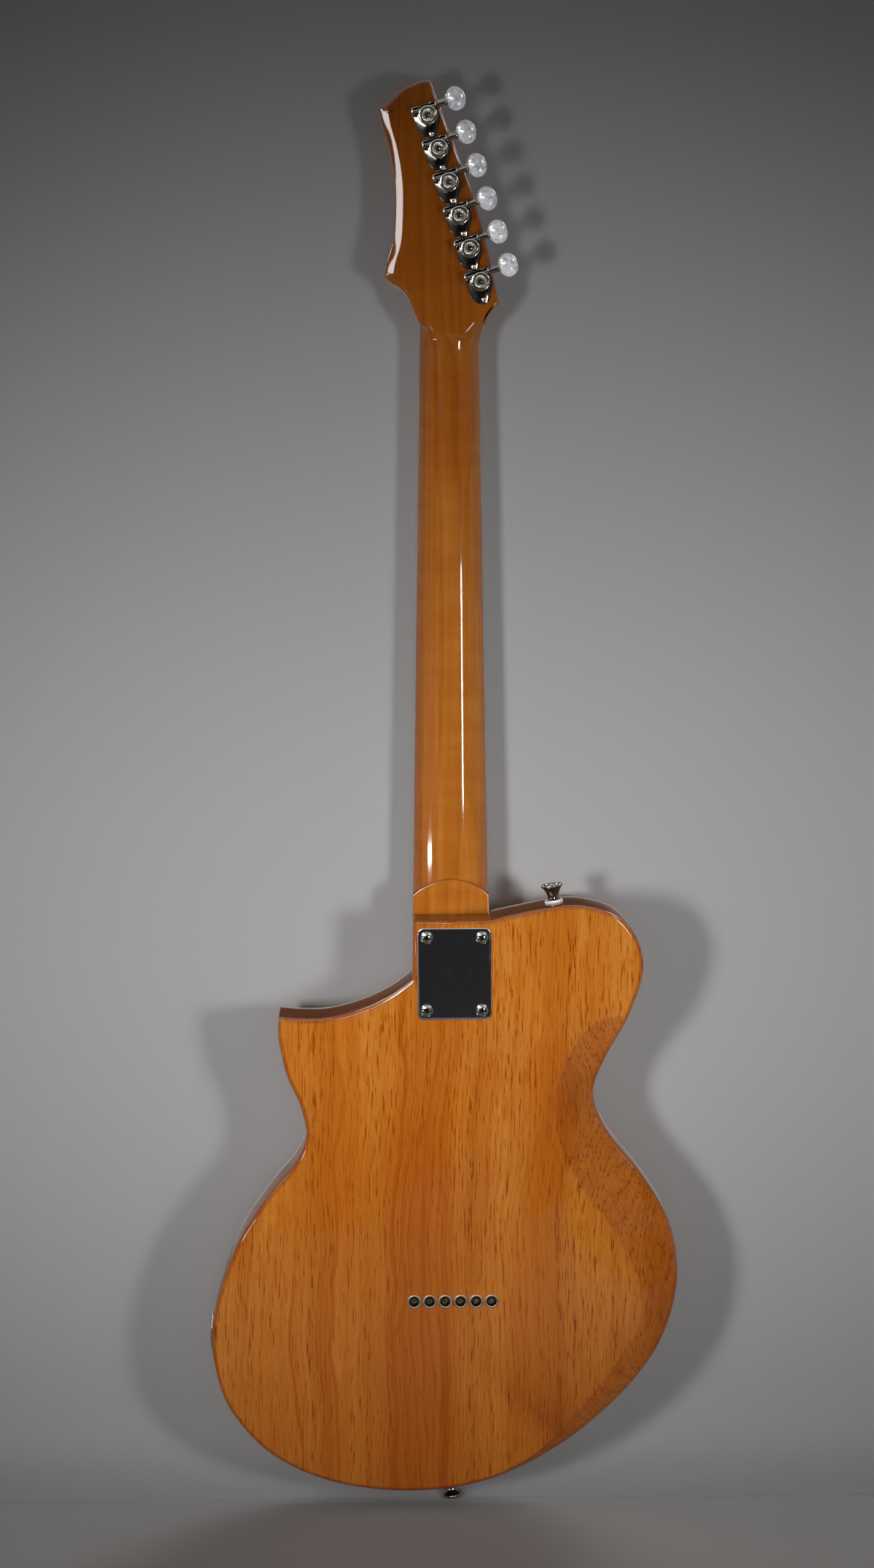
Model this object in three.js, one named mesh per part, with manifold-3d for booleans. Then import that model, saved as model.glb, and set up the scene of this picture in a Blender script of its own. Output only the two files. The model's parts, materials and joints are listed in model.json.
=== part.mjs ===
// Solid-body electric guitar: single cutaway, bolt-on neck, strings through the body, six locking
// tuners in line. Millimetres. +Z runs up the neck, +Y points out of the back, +X is the treble
// side. The origin is on the neck's centre line at the nut, in the plane of the body's front.
import * as THREE from "three";
import { mergeVertices } from "three/addons/utils/BufferGeometryUtils.js";
import Module from "manifold-3d";

const wasm = await Module();
wasm.setup();

// Fits
const seat_gap = 0.3; // between two pieces that rest on each other
const running_gap = 0.35; // round a piece that turns in another
const cut_over = 2; // how far a cutter runs past the face it opens
const deg = Math.PI / 180;

// Facets of round pieces, by their size
const small_sides = 8;
const middle_sides = 12;
const large_sides = 16;
const round_middle_share = 1 - Math.cos(45 * deg); // of a round's radius, at its middle

// Body
const body_width = 325.4;
const body_length = 416;
const body_thickness = 44;
const shoulder_rise = 10.3; // bass shoulder above the heel's end
const back_round = 3;
const front_round = 1;
const carve_depth = 14; // belly contour at its deepest, at the rim
const binding_width = 1.6;
const binding_height = 6;

// Strings and scale
const string_count = 6;
const scale_length = 648;
const bridge_string_pitch = 10.8;
const nut_string_pitch = 7;
const string_diameters = [0.25, 0.33, 0.43, 0.66, 0.91, 1.17]; // treble to bass
const string_clearance = 0.5; // under the string at the nut, over the first fret's top
const ball_radius = 1.9;
const ball_length = 3.2;

// Fretboard
const fretboard_thickness = 6;
const fretboard_radius = 305;
const board_top = 9.4; // height of the fretboard's middle over the body's front
const fret_count = 22;
const octave_fret_count = 12;
const fret_height = 1;
const fret_width = 2.4;
const fret_crown_width = 1.2;
const fretAt = (n) => scale_length * (1 - 2 ** (-n / octave_fret_count)); // from the nut
const fretboard_tongue = 7.84; // past the last fret
const fretboard_length = fretAt(fret_count) + fretboard_tongue;

// Neck; its sizes along the strings run from the nut
const nut_width = 41.3;
const heel_width = 55.4;
const heel_gap = 4; // from the fretboard's end
const pocket_length = 73.5;
const heel_end = fretboard_length - heel_gap;
const body_end = heel_end - pocket_length; // where the body starts, at the heel
const neck_back_at_nut = 11.6; // depth of the neck's back behind the body's front plane
const neck_back_at_heel = 13.8;
const neck_section_power = 2.3; // 2 is an ellipse, more is fuller at the sides
const pocket_depth = 16;
const heel_flat_middle = 24.5; // of the heel beyond the body, at the middle
const heel_flat_side = 13.5;
const heel_arc_top = body_end - heel_flat_middle;
const heel_arc_side = body_end - heel_flat_side;
const heel_corner = 5;
const cheek_drop = 41.5; // how far the cutaway runs down beside the heel
const cheek_start = body_end + cheek_drop;

// Nut
const nut_thickness = 3.5;
const nut_rise = 2; // over the fretboard's top
const nut_shoulder_share = 0.85; // of half the nut's width, where its top starts to fall

// Truss rod
const rod_width = 6;
const rod_depth = 9;
const rod_start = 22; // from the nut
const rod_end_gap = 12; // from the heel's end
const rod_length = heel_end - rod_end_gap - rod_start;
const rod_bar = 2.7; // thickness of the flat bar on top
const rod_round_radius = 2.6;
const rod_block = 12;

// Headstock
const head_length = 174; // from the nut to the tip
const head_width = 80.8;
const head_face = 0.6; // behind the body's front plane
const head_thickness = 14;
const head_back_round = 2.4;
const head_face_round = 1.2;
const head_start = 10; // above the nut
const blend_start = 15; // below the nut, where the neck's back starts to swell
const blend_end = 26; // above the nut, where the round of the neck ends in the headstock

// Tuners: row, posts and the worm drive
const tuner_pitch = 23.3;
const tuner_row_angle = 17.75 * deg;
const tuner_first_x = -20.8; // the post nearest the nut
const tuner_first_z = 38.7;
const gear_teeth = 14;
const gear_pitch_radius = 3.5;
const worm_pitch_radius = 1.75;
const tooth_addendum = 0.45;
const tooth_dedendum = 0.7;
const gear_tip_half = 0.13; // half thickness of a tooth at its tip
const gear_root_half = 0.47;
const thread_root_half = 0.6;
const gear_thickness = 2.4;
const gear_start = 2.6; // from the headstock's back to the gear
const thread_turns = 2.5;
const thread_steps = 8; // facets a turn

// Tuners: housing
const plate_thickness = 1;
const cheek_thickness = 1.2;
const cheek_height = 6.2; // from the headstock's back
const cheek_inner = -8; // along the shaft, from the post
const cheek_outer = 7.1;
const cheek_foot = 2.2; // along the row, from the post
const housing_top = 8.2;
const housing_left = 9.3;
const housing_right = 8.3;
const housing_tip = 14.6;
const housing_edge_shares = [
  [-1, 0.42],
  [-0.73, 0.82],
  [-0.32, 1],
  [0.12, 0.97],
  [0.48, 0.66],
  [1, 0.2],
]; // of the width to that side and of the length to the tip
const sleeve_radius = 3.9;
const bush_radius = 5.9;
const bush_height = 2.2;

// Tuners: post, lock wheel, shaft and button
const post_radius = 3;
const post_waist_radius = 2.3;
const post_waist_height = 3;
const post_top = 3.4; // over the string
const post_hole_radius = 0.9;
const post_wrap_step = 42 * deg; // of the string round the post
const post_wrap_steps = 7;
const post_stub_radius = 1.6;
const string_lift_near = 7.5; // string over the headstock's face, at the post nearest the nut
const string_lift_far = 5.5;
const lock_wheel_radius = 6.65;
const lock_wheel_thickness = 3.1;
const lock_wheel_start = 6.4; // from the headstock's back
const lock_wheel_flutes = 10;
const lock_flute_depth = 0.5;
const shaft_radius = 1.5;
const shaft_end = 15;
const collar_radius = 2.5;
const collar_length = 2;
const button_reach = 21.3; // post to the middle of the button
const button_length = 13.3; // along the shaft
const button_width = 17.2;
const button_thickness = 8;

// Neck plate and its screws
const plate_length = 64;
const plate_width = 51;
const plate_sheet = 1.2;
const plate_corner = 4.5;
const plate_drop = 37.3; // the middle of the plate, from where the body starts
const plate_z = body_end + plate_drop;
const plate_offset = 1.5; // to the bass side
const screw_pitch_x = 38.1;
const screw_pitch_z = 50.8;
const neck_screw_radius = 2.1;
const neck_screw_length = 43;
const neck_screw_point = 4;
const neck_screw_head_radius = 4.2;
const neck_screw_head_height = 2;
const screw_shoulder_shares = [0.8, 0.7]; // of the head's radius and height

// String ferrules
const ferrule_reach = 17.5; // behind the saddles
const ferrule_line = scale_length + ferrule_reach;
const ferrule_rim_radius = 4.8;
const ferrule_rim_height = 0.6;
const ferrule_barrel_radius = 4;
const ferrule_depth = 9;
const ferrule_bore_radius = 3.35;
const ferrule_bore_depth = 6;
const string_bore_radius = 1.6;
const ferrule_hole_radius = 1;

// Bridge
const bridge_width = 86;
const bridge_front_reach = 51; // of the saddles
const bridge_back_reach = 33;
const bridge_front = scale_length - bridge_front_reach;
const bridge_back = scale_length + bridge_back_reach;
const bridge_sheet = 1.6;
const bridge_wall_height = 8;
const saddle_radius = 3.95;
const saddle_length = 20.4;
const saddle_top = 13.9; // over the body's front, at the middle string pair
const saddle_screw_radius = 1.4;
const saddle_screw_head_radius = 2.8;
const saddle_screw_head_height = 2.1;
const saddle_wrap = 40 * deg; // how far the string wraps the saddle on its way down

// Pickups
const bridge_pickup_reach = 28; // of the saddles
const bridge_pickup_z = scale_length - bridge_pickup_reach;
const bridge_pickup_angle = 13 * deg;
const bridge_pickup_length = 71;
const bridge_pickup_width = 19;
const bridge_pickup_rise = 5.5;
const neck_pickup_length = 66;
const neck_pickup_width = 18;
const neck_pickup_space = 8; // from the fretboard's end
const neck_pickup_z = fretboard_length + neck_pickup_space + neck_pickup_width / 2;
const neck_pickup_rise = 7;
const pickup_depth = 15; // below the body's front
const pickup_gap = 0.5;
const pole_radius = 2.4;
const pole_rise = 0.8;
const bridge_pole_share = 0.97; // of the strings' spread

// Controls
const control_x = 76;
const control_drop = 246.5; // the middle of the plate, from where the body starts
const control_z = body_end + control_drop;
const control_length = 160;
const control_width = 33;
const control_sheet = 1.6;
const control_cavity_margin = 3.5;
const control_cavity_depth = 33;
const control_round_share = 0.98; // of half the plate's width, at its ends
const pot_radius = 11;
const pot_depth = 9;
const pot_shaft_radius = 3;
const knob_radius = 9.4;
const knob_height = 14.5;
const knob_gap = 0.6; // under the knob
const knob_face_share = 0.8; // of the radius
const knob_edge_shares = [0.95, 0.92]; // of the radius and of the height
const knob_spacing = 40;
const tone_to_end = 29; // of the control plate
const switch_to_end = 33;
const tone_z = control_z + control_length / 2 - tone_to_end;
const volume_z = tone_z - knob_spacing;
const switch_z = control_z - control_length / 2 + switch_to_end;
const lever_thickness = 1.6;
const lever_width = 5;
const lever_pivot_depth = 9;
const lever_hub_radius = 3.4;
const lever_pin_radius = 1.1;
const lever_reach = 8; // over the body's front, to the tip
const lever_tip_radius = 4.3;
const lever_tip_height = 10.5;
const lever_tip_shares = [
  [0.85, 0],
  [1, 0.8],
  [0.7, 1],
]; // of the tip's radius and height
const lever_swing = 16 * deg;
const switch_frame_length = 30;
const switch_frame_wall = 3;
const switch_frame_depth = 15;

// Strap buttons
const strap_cap_radius = 7.5;
const strap_height = 12.4;
const strap_profile_shares = [
  [0.853, 0],
  [0.853, 0.129],
  [0.644, 0.129],
  [0.56, 0.329],
  [0.616, 0.509],
  [1, 0.871],
  [1, 0.948],
  [0.9, 1],
]; // of the cap's radius and of the height

// Jack cup
const jack_flange_radius = 13.5;
const jack_flange_height = 1;
const jack_cup_radius = 10.5;
const jack_recess_radius = 9;
const jack_recess_depth = 9;
const jack_floor = 1.5;
const socket_radius = 5.5;
const socket_bore_radius = 3.3;
const socket_depth = 27;

// Where the strap buttons and the jack sit, in points of the rim's tables below
const upper_strap_knot = 17.16; // of the bass table
const lower_strap_knot = 14.58; // of the treble table
const jack_knot = 9.3; // of the treble table

// The rim of the body, from the horn's tip round the bottom to the heel, as shares of its width
// from the neck's centre line and of its length from the top of the bass shoulder.
const treble_rim_shares = [
  [0.368, 0.186],
  [0.369, 0.226],
  [0.352, 0.285],
  [0.324, 0.336],
  [0.312, 0.386],
  [0.335, 0.434],
  [0.389, 0.485],
  [0.452, 0.558],
  [0.492, 0.634],
  [0.516, 0.709],
  [0.511, 0.783],
  [0.477, 0.859],
  [0.39, 0.935],
  [0.26, 0.983],
  [0.098, 1],
];
const bass_rim_shares = [
  [-0.06, 0.986],
  [-0.203, 0.94],
  [-0.322, 0.872],
  [-0.418, 0.79],
  [-0.467, 0.714],
  [-0.486, 0.627],
  [-0.464, 0.539],
  [-0.406, 0.463],
  [-0.34, 0.398],
  [-0.308, 0.345],
  [-0.306, 0.307],
  [-0.33, 0.258],
  [-0.372, 0.192],
  [-0.404, 0.12],
  [-0.398, 0.069],
  [-0.362, 0.026],
  [-0.305, 0.006],
  [-0.235, 0.0015],
  [-0.129, 0.0165],
];
const horn_shares = [
  [0.123, 0.147],
  [0.172, 0.167],
  [0.22, 0.18],
  [0.269, 0.188],
  [0.317, 0.189],
];

// The inner edge of the belly contour, one point beside each point of the bass rim from its first,
// and the contour's depth there as a share of its greatest.
const carve_shares = [
  [-0.055, 0.982, 0.04],
  [-0.166, 0.933, 0.35],
  [-0.272, 0.857, 0.52],
  [-0.353, 0.776, 0.61],
  [-0.398, 0.716, 0.68],
  [-0.4, 0.646, 0.79],
  [-0.345, 0.56, 0.9],
  [-0.27, 0.475, 0.96],
  [-0.228, 0.405, 1],
  [-0.218, 0.35, 1],
  [-0.232, 0.285, 0.9],
  [-0.28, 0.212, 0.62],
  [-0.362, 0.17, 0.06],
];
const carve_bow_share = 0.42; // depth halfway to the rim, of the depth at the rim

// The headstock, from the neck's bass side round the tip to its treble side, as shares of its width
// from the centre line and of its length from the nut. Runs between corners are curves.
const head_bass_shares = [
  [-0.307, 0.092],
  [-0.37, 0.12],
  [-0.415, 0.14],
];
const head_edge_shares = [
  [-0.415, 0.14],
  [-0.293, 0.395],
  [-0.178, 0.582],
  [-0.061, 0.726],
  [0.156, 0.994],
];
const head_tip_shares = [
  [0.156, 0.994],
  [0.2, 1],
  [0.319, 0.983],
  [0.415, 0.959],
  [0.51, 0.925],
  [0.585, 0.887],
];
const head_treble_shares = [
  [0.585, 0.887],
  [0.558, 0.819],
  [0.511, 0.745],
  [0.478, 0.67],
  [0.459, 0.589],
  [0.459, 0.495],
  [0.474, 0.383],
  [0.522, 0.307],
  [0.546, 0.251],
];
const head_wing_shares = [
  [0.546, 0.251],
  [0.516, 0.226],
  [0.42, 0.2],
  [0.353, 0.163],
  [0.3, 0.105],
];

// How the neck swells into the headstock: the place as a share of the way from the nut to the
// blend's end, the drop of the front as a share of the step to the headstock's face, and what is
// gained at each side and behind as shares of the step between the two backs.
const swell_shares = [
  [0, 0, 0, 0.5],
  [0.19, 0, 0, 1.5],
  [0.48, 0.67, 0, 2.6],
  [0.58, 1, 0.5, 3.4],
  [1, 1, 1, 5],
];

// Rings of points skinned into one closed solid, with flat ends
function plan(ring) {
  const normal = new THREE.Vector3();
  ring.forEach((p, i) => {
    const q = ring[(i + 1) % ring.length];
    normal.x += (p.y - q.y) * (p.z + q.z);
    normal.y += (p.z - q.z) * (p.x + q.x);
    normal.z += (p.x - q.x) * (p.y + q.y);
  });
  const sizes = normal.toArray().map(Math.abs);
  const across = sizes.indexOf(Math.max(...sizes));
  return ring.map((p) => {
    const c = p.toArray();
    return new THREE.Vector2(c[(across + 1) % 3], c[(across + 2) % 3]);
  });
}

function capFaces(ring) {
  const flat = plan(ring);
  const faces = THREE.ShapeUtils.triangulateShape(flat, []);
  return THREE.ShapeUtils.isClockWise(flat) ? faces.map((f) => f.reverse()) : faces;
}

function skin(rings) {
  const n = rings[0].length;
  const last = (rings.length - 1) * n;
  const index = [];
  for (const [a, b, c] of capFaces(rings[0])) index.push(c, b, a);
  for (const [a, b, c] of capFaces(rings.at(-1))) index.push(last + a, last + b, last + c);
  for (let r = 0; r < last; r += n) {
    for (let i = 0; i < n; i++) {
      const j = (i + 1) % n;
      index.push(r + i, r + j, r + n + j, r + i, r + n + j, r + n + i);
    }
  }
  const geometry = new THREE.BufferGeometry();
  geometry.setFromPoints(rings.flat());
  geometry.setIndex(index);
  return solid(geometry);
}

// A three.js geometry as a solid, its faces turned outwards
function solid(geometry) {
  geometry.deleteAttribute("normal");
  geometry.deleteAttribute("uv");
  const merged = mergeVertices(geometry);
  const triVerts = new Uint32Array(merged.index.array);
  const vertProperties = merged.attributes.position.array;
  const made = new wasm.Manifold(new wasm.Mesh({ numProp: 3, vertProperties, triVerts }));
  if (made.volume() > 0) return made;
  return new wasm.Manifold(
    new wasm.Mesh({ numProp: 3, vertProperties, triVerts: triVerts.reverse() }),
  );
}

function joined(first, ...others) {
  return others.reduce((sum, piece) => sum.add(piece), first);
}

function cut(first, ...others) {
  return others.reduce((rest, piece) => rest.subtract(piece), first);
}

const X = new THREE.Vector3(1, 0, 0);
const Y = new THREE.Vector3(0, 1, 0);
const Z = new THREE.Vector3(0, 0, 1);
const at = (x, y, z) => new THREE.Vector3(x, y, z);

// Turns a geometry made along Y to another axis and moves it
function placed(geometry, at, axis = Y) {
  const turn = new THREE.Quaternion().setFromUnitVectors(Y, axis.clone().normalize());
  geometry.applyQuaternion(turn);
  geometry.translate(at.x, at.y, at.z);
  return solid(geometry);
}

// A solid of revolution: its profile is a list of [radius, height]
function turned(profile, sides, at = new THREE.Vector3(), axis = Y) {
  const points = profile.map(([r, h]) => new THREE.Vector2(r, h));
  return placed(new THREE.LatheGeometry(points, sides), at, axis);
}

// The same with a bore: the profile is closed on itself
function bored(profile, sides, at, axis) {
  return turned([...profile, profile[0]], sides, at, axis);
}

function rod(radius, from, to, sides = middle_sides) {
  const along = to.clone().sub(from);
  const middle = from.clone().add(to).divideScalar(2);
  return placed(new THREE.CylinderGeometry(radius, radius, along.length(), sides), middle, along);
}

function box(x0, x1, y0, y1, z0, z1) {
  const geometry = new THREE.BoxGeometry(x1 - x0, y1 - y0, z1 - z0);
  geometry.translate((x0 + x1) / 2, (y0 + y1) / 2, (z0 + z1) / 2);
  return solid(geometry);
}

// An outline of [x, z] points between two planes of y
function ringAt(outline, y) {
  return outline.map((p) => new THREE.Vector3(p.x, y, p.y));
}

function slab(outline, front, back) {
  return skin([ringAt(outline, front), ringAt(outline, back)]);
}

// The last rings of a slab whose back edge is rounded
function roundedBack(outline, round, back) {
  const part = round * round_middle_share;
  return [
    ringAt(outline, back - round),
    ringAt(inset(outline, part), back - part),
    ringAt(inset(outline, round), back),
  ];
}

// Each point moved inwards, square to its neighbours; the outline runs anticlockwise
function inset(outline, distance) {
  const way = THREE.ShapeUtils.isClockWise(outline) ? -1 : 1;
  return outline.map((p, i) => {
    const before = outline.at(i - 1);
    const after = outline[(i + 1) % outline.length];
    const a = p.clone().sub(before).normalize();
    const b = after.clone().sub(p).normalize();
    const bisector = a.clone().add(b).normalize();
    const reach = distance / Math.max(bisector.dot(b), 0.5);
    return new THREE.Vector2(p.x - bisector.y * reach * way, p.y + bisector.x * reach * way);
  });
}

function roundedRect(cx, cz, width, length, radius, steps = 3) {
  const points = [];
  const corners = [
    [1, 1],
    [-1, 1],
    [-1, -1],
    [1, -1],
  ];
  corners.forEach(([sx, sz], k) => {
    for (let i = 0; i <= steps; i++) {
      const a = (k + i / steps) * 90 * deg;
      const x = cx + sx * (width / 2 - radius) + radius * Math.cos(a);
      const z = cz + sz * (length / 2 - radius) + radius * Math.sin(a);
      points.push(new THREE.Vector2(x, z));
    }
  });
  return points;
}

function turnOutline(outline, angle, cx, cz) {
  const centre = new THREE.Vector2(cx, cz);
  return outline.map((p) => p.clone().rotateAround(centre, angle));
}

// A smooth run through hand-set points, without its last point
function run(points, steps = 2) {
  const curve = new THREE.SplineCurve(points);
  const count = (points.length - 1) * steps;
  return Array.from({ length: count }, (_, i) => curve.getPoint(i / count));
}

const parts = new THREE.Group();

function add(name, made, finish, holder = parts) {
  const mesh = made.getMesh();
  const geometry = new THREE.BufferGeometry();
  geometry.setAttribute("position", new THREE.BufferAttribute(mesh.vertProperties, 3));
  geometry.setIndex(new THREE.BufferAttribute(mesh.triVerts, 1));
  geometry.computeVertexNormals();
  const node = new THREE.Mesh(geometry, finish);
  node.name = name;
  holder.add(node);
  return node;
}

function finish(color, roughness, metalness = 0) {
  return new THREE.MeshStandardMaterial({ color, roughness, metalness, flatShading: true });
}

const finishes = {
  body: finish("#b06824", 0.25),
  neck: finish("#94561e", 0.25),
  board: finish("#8a5222", 0.45),
  binding: finish("#e6dfc8", 0.35),
  bone: finish("#e9e2cf", 0.4),
  nickel: finish("#b9b6ae", 0.25, 1),
  chrome: finish("#c8c8c8", 0.12, 1),
  steel: finish("#8d8f92", 0.35, 1),
  brass: finish("#b08d4a", 0.3, 1),
  string: finish("#a8a49c", 0.35, 1),
  pearl: finish("#c9cbd2", 0.3),
  black: finish("#17171a", 0.4),
};

// Places shared by several pieces
const board_bottom_y = fretboard_thickness - board_top;
const board_top_y = -board_top;
const head_back = head_face + head_thickness;
const neck_taper = (heel_width - nut_width) / heel_end;
const neckHalf = (z) => (nut_width - neck_taper * z) / 2;
const crown = (x) => fretboard_radius - Math.sqrt(fretboard_radius ** 2 - x ** 2);
const stringRadius = (i) => string_diameters[i] / 2;
const fromMiddle = (i) => (string_count - 1) / 2 - i;
const bridgeX = (i) => fromMiddle(i) * bridge_string_pitch;
const nutX = (i) => fromMiddle(i) * nut_string_pitch;
const strings = Array.from({ length: string_count }, (_, i) => i);

// The rim of the body
const body_top = shoulder_rise - body_end;
const bodyPoint = ([x, z]) => new THREE.Vector2(x * body_width, body_top - z * body_length);
const heel_bass = new THREE.Vector2(-neckHalf(-body_end) - seat_gap, -body_end);
const heel_treble = new THREE.Vector2(neckHalf(-body_end) + seat_gap, -body_end);
const cheek_corner = new THREE.Vector2(neckHalf(-cheek_start) + seat_gap, -cheek_start);
const rim_knots = [...treble_rim_shares, ...bass_rim_shares].map(bodyPoint).concat(heel_bass);
const rim_curve = new THREE.SplineCurve(rim_knots);
const rim = [
  heel_treble,
  ...run([cheek_corner, ...horn_shares.map(bodyPoint), bodyPoint(treble_rim_shares[0])]),
  ...run(rim_knots),
  heel_bass,
];

// A place on the rim, halfway through the body, and the way out of it there
function rimPlace(share) {
  const p = rim_curve.getPoint(share);
  const t = rim_curve.getTangent(share);
  const at = new THREE.Vector3(p.x, body_thickness / 2, p.y);
  return { at, out: new THREE.Vector3(-t.y, 0, t.x) };
}

// How far along the rim's curve a given knot lies
const atKnot = (k) => k / (rim_knots.length - 1);
const upper_strap = rimPlace(atKnot(treble_rim_shares.length + upper_strap_knot));
const lower_strap = rimPlace(atKnot(lower_strap_knot));
const jack = rimPlace(atKnot(jack_knot));

function bellyCarve() {
  const first = treble_rim_shares.length;
  const rings = carve_shares.map(([x, z, share], i) => {
    const inner = bodyPoint([x, z]);
    const edge = rim_knots[first + i];
    const outer = edge.clone().add(edge.clone().sub(inner).setLength(back_round * 2));
    const reach = inner.distanceTo(outer) / inner.distanceTo(edge);
    const depth = carve_depth * share * reach;
    const middle = inner.clone().add(outer).divideScalar(2);
    const over = body_thickness + cut_over;
    return [
      new THREE.Vector3(inner.x, over, inner.y),
      new THREE.Vector3(inner.x, body_thickness, inner.y),
      new THREE.Vector3(middle.x, body_thickness - depth * carve_bow_share, middle.y),
      new THREE.Vector3(outer.x, body_thickness - depth, outer.y),
      new THREE.Vector3(outer.x, over, outer.y),
    ];
  });
  return skin(rings);
}

// The neck pocket: a tapered bay, open at the heel and beside the cutaway
function neckPocket() {
  const end = -heel_end - seat_gap;
  const top = -body_end + cut_over;
  const half = (z) => neckHalf(z) + seat_gap;
  const bay = [
    new THREE.Vector2(half(end), end),
    new THREE.Vector2(half(top), top),
    new THREE.Vector2(-half(top), top),
    new THREE.Vector2(-half(end), end),
  ];
  const side = box(0, half(end) + cut_over, -cut_over, pocket_depth, -cheek_start, top);
  return joined(slab(bay, -cut_over, pocket_depth), side);
}

const bodyBlank = skin([
  ringAt(inset(rim, front_round), 0),
  ringAt(rim, front_round),
  ...roundedBack(rim, back_round, body_thickness),
]);

// The strip round the front edge, and the rebate it lies in
function rimStrip(width, height) {
  const outside = slab(inset(rim, -cut_over), -cut_over, height);
  return cut(outside, slab(inset(rim, width), -cut_over * 2, height + cut_over));
}

// Plan outlines of what is let into the body's front
const neckPickupOutline = (gap) =>
  roundedRect(
    0,
    -neck_pickup_z,
    neck_pickup_length + gap * 2,
    neck_pickup_width + gap * 2,
    neck_pickup_width / 2 - gap,
  );
const bridgePickupOutline = (gap) =>
  turnOutline(
    roundedRect(
      0,
      -bridge_pickup_z,
      bridge_pickup_length + gap * 2,
      bridge_pickup_width + gap * 2,
      bridge_pickup_width / 2 - gap,
    ),
    -bridge_pickup_angle,
    0,
    -bridge_pickup_z,
  );
const controlOutline = (margin) =>
  roundedRect(
    control_x,
    -control_z,
    control_width - margin * 2,
    control_length - margin * 2,
    (control_width / 2 - margin) * control_round_share,
  );

const plate_x = -plate_offset;
const screwPlaces = [-1, 1].flatMap((sz) =>
  [-1, 1].map((sx) => [
    plate_x + (sx * screw_pitch_x) / 2,
    -plate_z + (sz * screw_pitch_z) / 2,
  ]),
);

// A bore along Y between two depths
function boreY(x, z, radius, from, to, sides = middle_sides) {
  return rod(radius, new THREE.Vector3(x, from, z), new THREE.Vector3(x, to, z), sides);
}

function makeBody() {
  const front = -cut_over;
  const back = body_thickness + cut_over;
  const deep = pickup_depth + seat_gap;
  const cutters = [
    neckPocket(),
    bellyCarve(),
    slab(neckPickupOutline(pickup_gap), front, deep),
    slab(bridgePickupOutline(pickup_gap), front, deep),
    slab(controlOutline(control_cavity_margin), front, control_cavity_depth),
    jackBore(),
  ];
  for (const [x, z] of screwPlaces) {
    cutters.push(boreY(x, z, neck_screw_radius + seat_gap, 0, back, small_sides));
  }
  const seat = body_thickness - ferrule_depth - seat_gap;
  const barrel = ferrule_barrel_radius + seat_gap;
  for (const i of strings) {
    const x = bridgeX(i);
    cutters.push(boreY(x, -ferrule_line, string_bore_radius, front, back, small_sides));
    cutters.push(boreY(x, -ferrule_line, barrel, seat, back));
  }
  const rebate = rimStrip(binding_width + seat_gap, binding_height + seat_gap);
  return cut(bodyBlank, rebate, ...cutters);
}

// The binding stops at the neck pocket
function makeBinding() {
  const strip = bodyBlank.intersect(rimStrip(binding_width, binding_height));
  return cut(strip, neckPocket());
}

function jackBore() {
  const { at, out } = jack;
  const mouth = at.clone().addScaledVector(out, cut_over);
  const shelf = at.clone().addScaledVector(out, -(jack_recess_depth + jack_floor + seat_gap));
  const end = at.clone().addScaledVector(out, -(socket_depth + jack_floor + seat_gap));
  return joined(
    rod(jack_cup_radius + seat_gap, mouth, shelf, large_sides),
    rod(socket_radius + seat_gap, mouth, end),
  );
}

function makeJackCup() {
  const { at, out } = jack;
  const flange = jack_flange_height + seat_gap;
  const profile = [
    [0, -socket_depth - jack_floor],
    [socket_radius, -socket_depth - jack_floor],
    [socket_radius, -jack_recess_depth - jack_floor],
    [jack_cup_radius, -jack_recess_depth - jack_floor],
    [jack_cup_radius, seat_gap],
    [jack_flange_radius, seat_gap],
    [jack_flange_radius - jack_flange_height / 2, flange],
    [jack_recess_radius, flange],
    [jack_recess_radius, -jack_recess_depth],
    [socket_bore_radius, -jack_recess_depth],
    [socket_bore_radius, -socket_depth],
    [0, -socket_depth],
  ];
  return turned(profile, large_sides, at, out);
}

// A section of the neck: flat on the fretboard's side, round on the back
function neckRing(z, half, top, back) {
  const steps = 10;
  const power = 2 / neck_section_power;
  return Array.from({ length: steps + 1 }, (_, i) => {
    const a = (i / steps) * 180 * deg;
    const x = Math.sign(Math.cos(a)) * half * Math.abs(Math.cos(a)) ** power;
    const y = top + (back - top) * Math.abs(Math.sin(a)) ** power;
    return new THREE.Vector3(i === steps ? -half : x, i % steps ? y : top, z);
  });
}

function neckShaft() {
  const slope = (neck_back_at_heel - neck_back_at_nut) / heel_arc_side;
  const plain = (z) => neckRing(z, neckHalf(z), board_bottom_y, neck_back_at_nut - slope * z);
  const step = head_back - neck_back_at_nut;
  const drop = head_face + seat_gap - board_bottom_y;
  const swelling = swell_shares.map(([up, front, side, back]) =>
    neckRing(
      up * blend_end,
      neckHalf(0) + side * step,
      board_bottom_y + front * drop,
      neck_back_at_nut + back * step,
    ),
  );
  return skin([plain(-heel_arc_side - seat_gap), plain(-blend_start), ...swelling]);
}

function headBlock() {
  const point = ([x, z]) => new THREE.Vector2(x * head_width, z * head_length);
  const start = new THREE.Vector2(-neckHalf(0), head_start);
  const end = new THREE.Vector2(neckHalf(0), head_start);
  const outline = [
    ...run([start, ...head_bass_shares.map(point)]),
    ...run(head_edge_shares.map(point)),
    ...run(head_tip_shares.map(point), 1),
    ...run(head_treble_shares.map(point), 1),
    ...run([...head_wing_shares.map(point), end]),
    end,
  ];
  return skin([
    ringAt(inset(outline, head_face_round), head_face),
    ringAt(outline, head_face + head_face_round),
    ...roundedBack(outline, head_back_round, head_back),
  ]);
}

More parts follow.
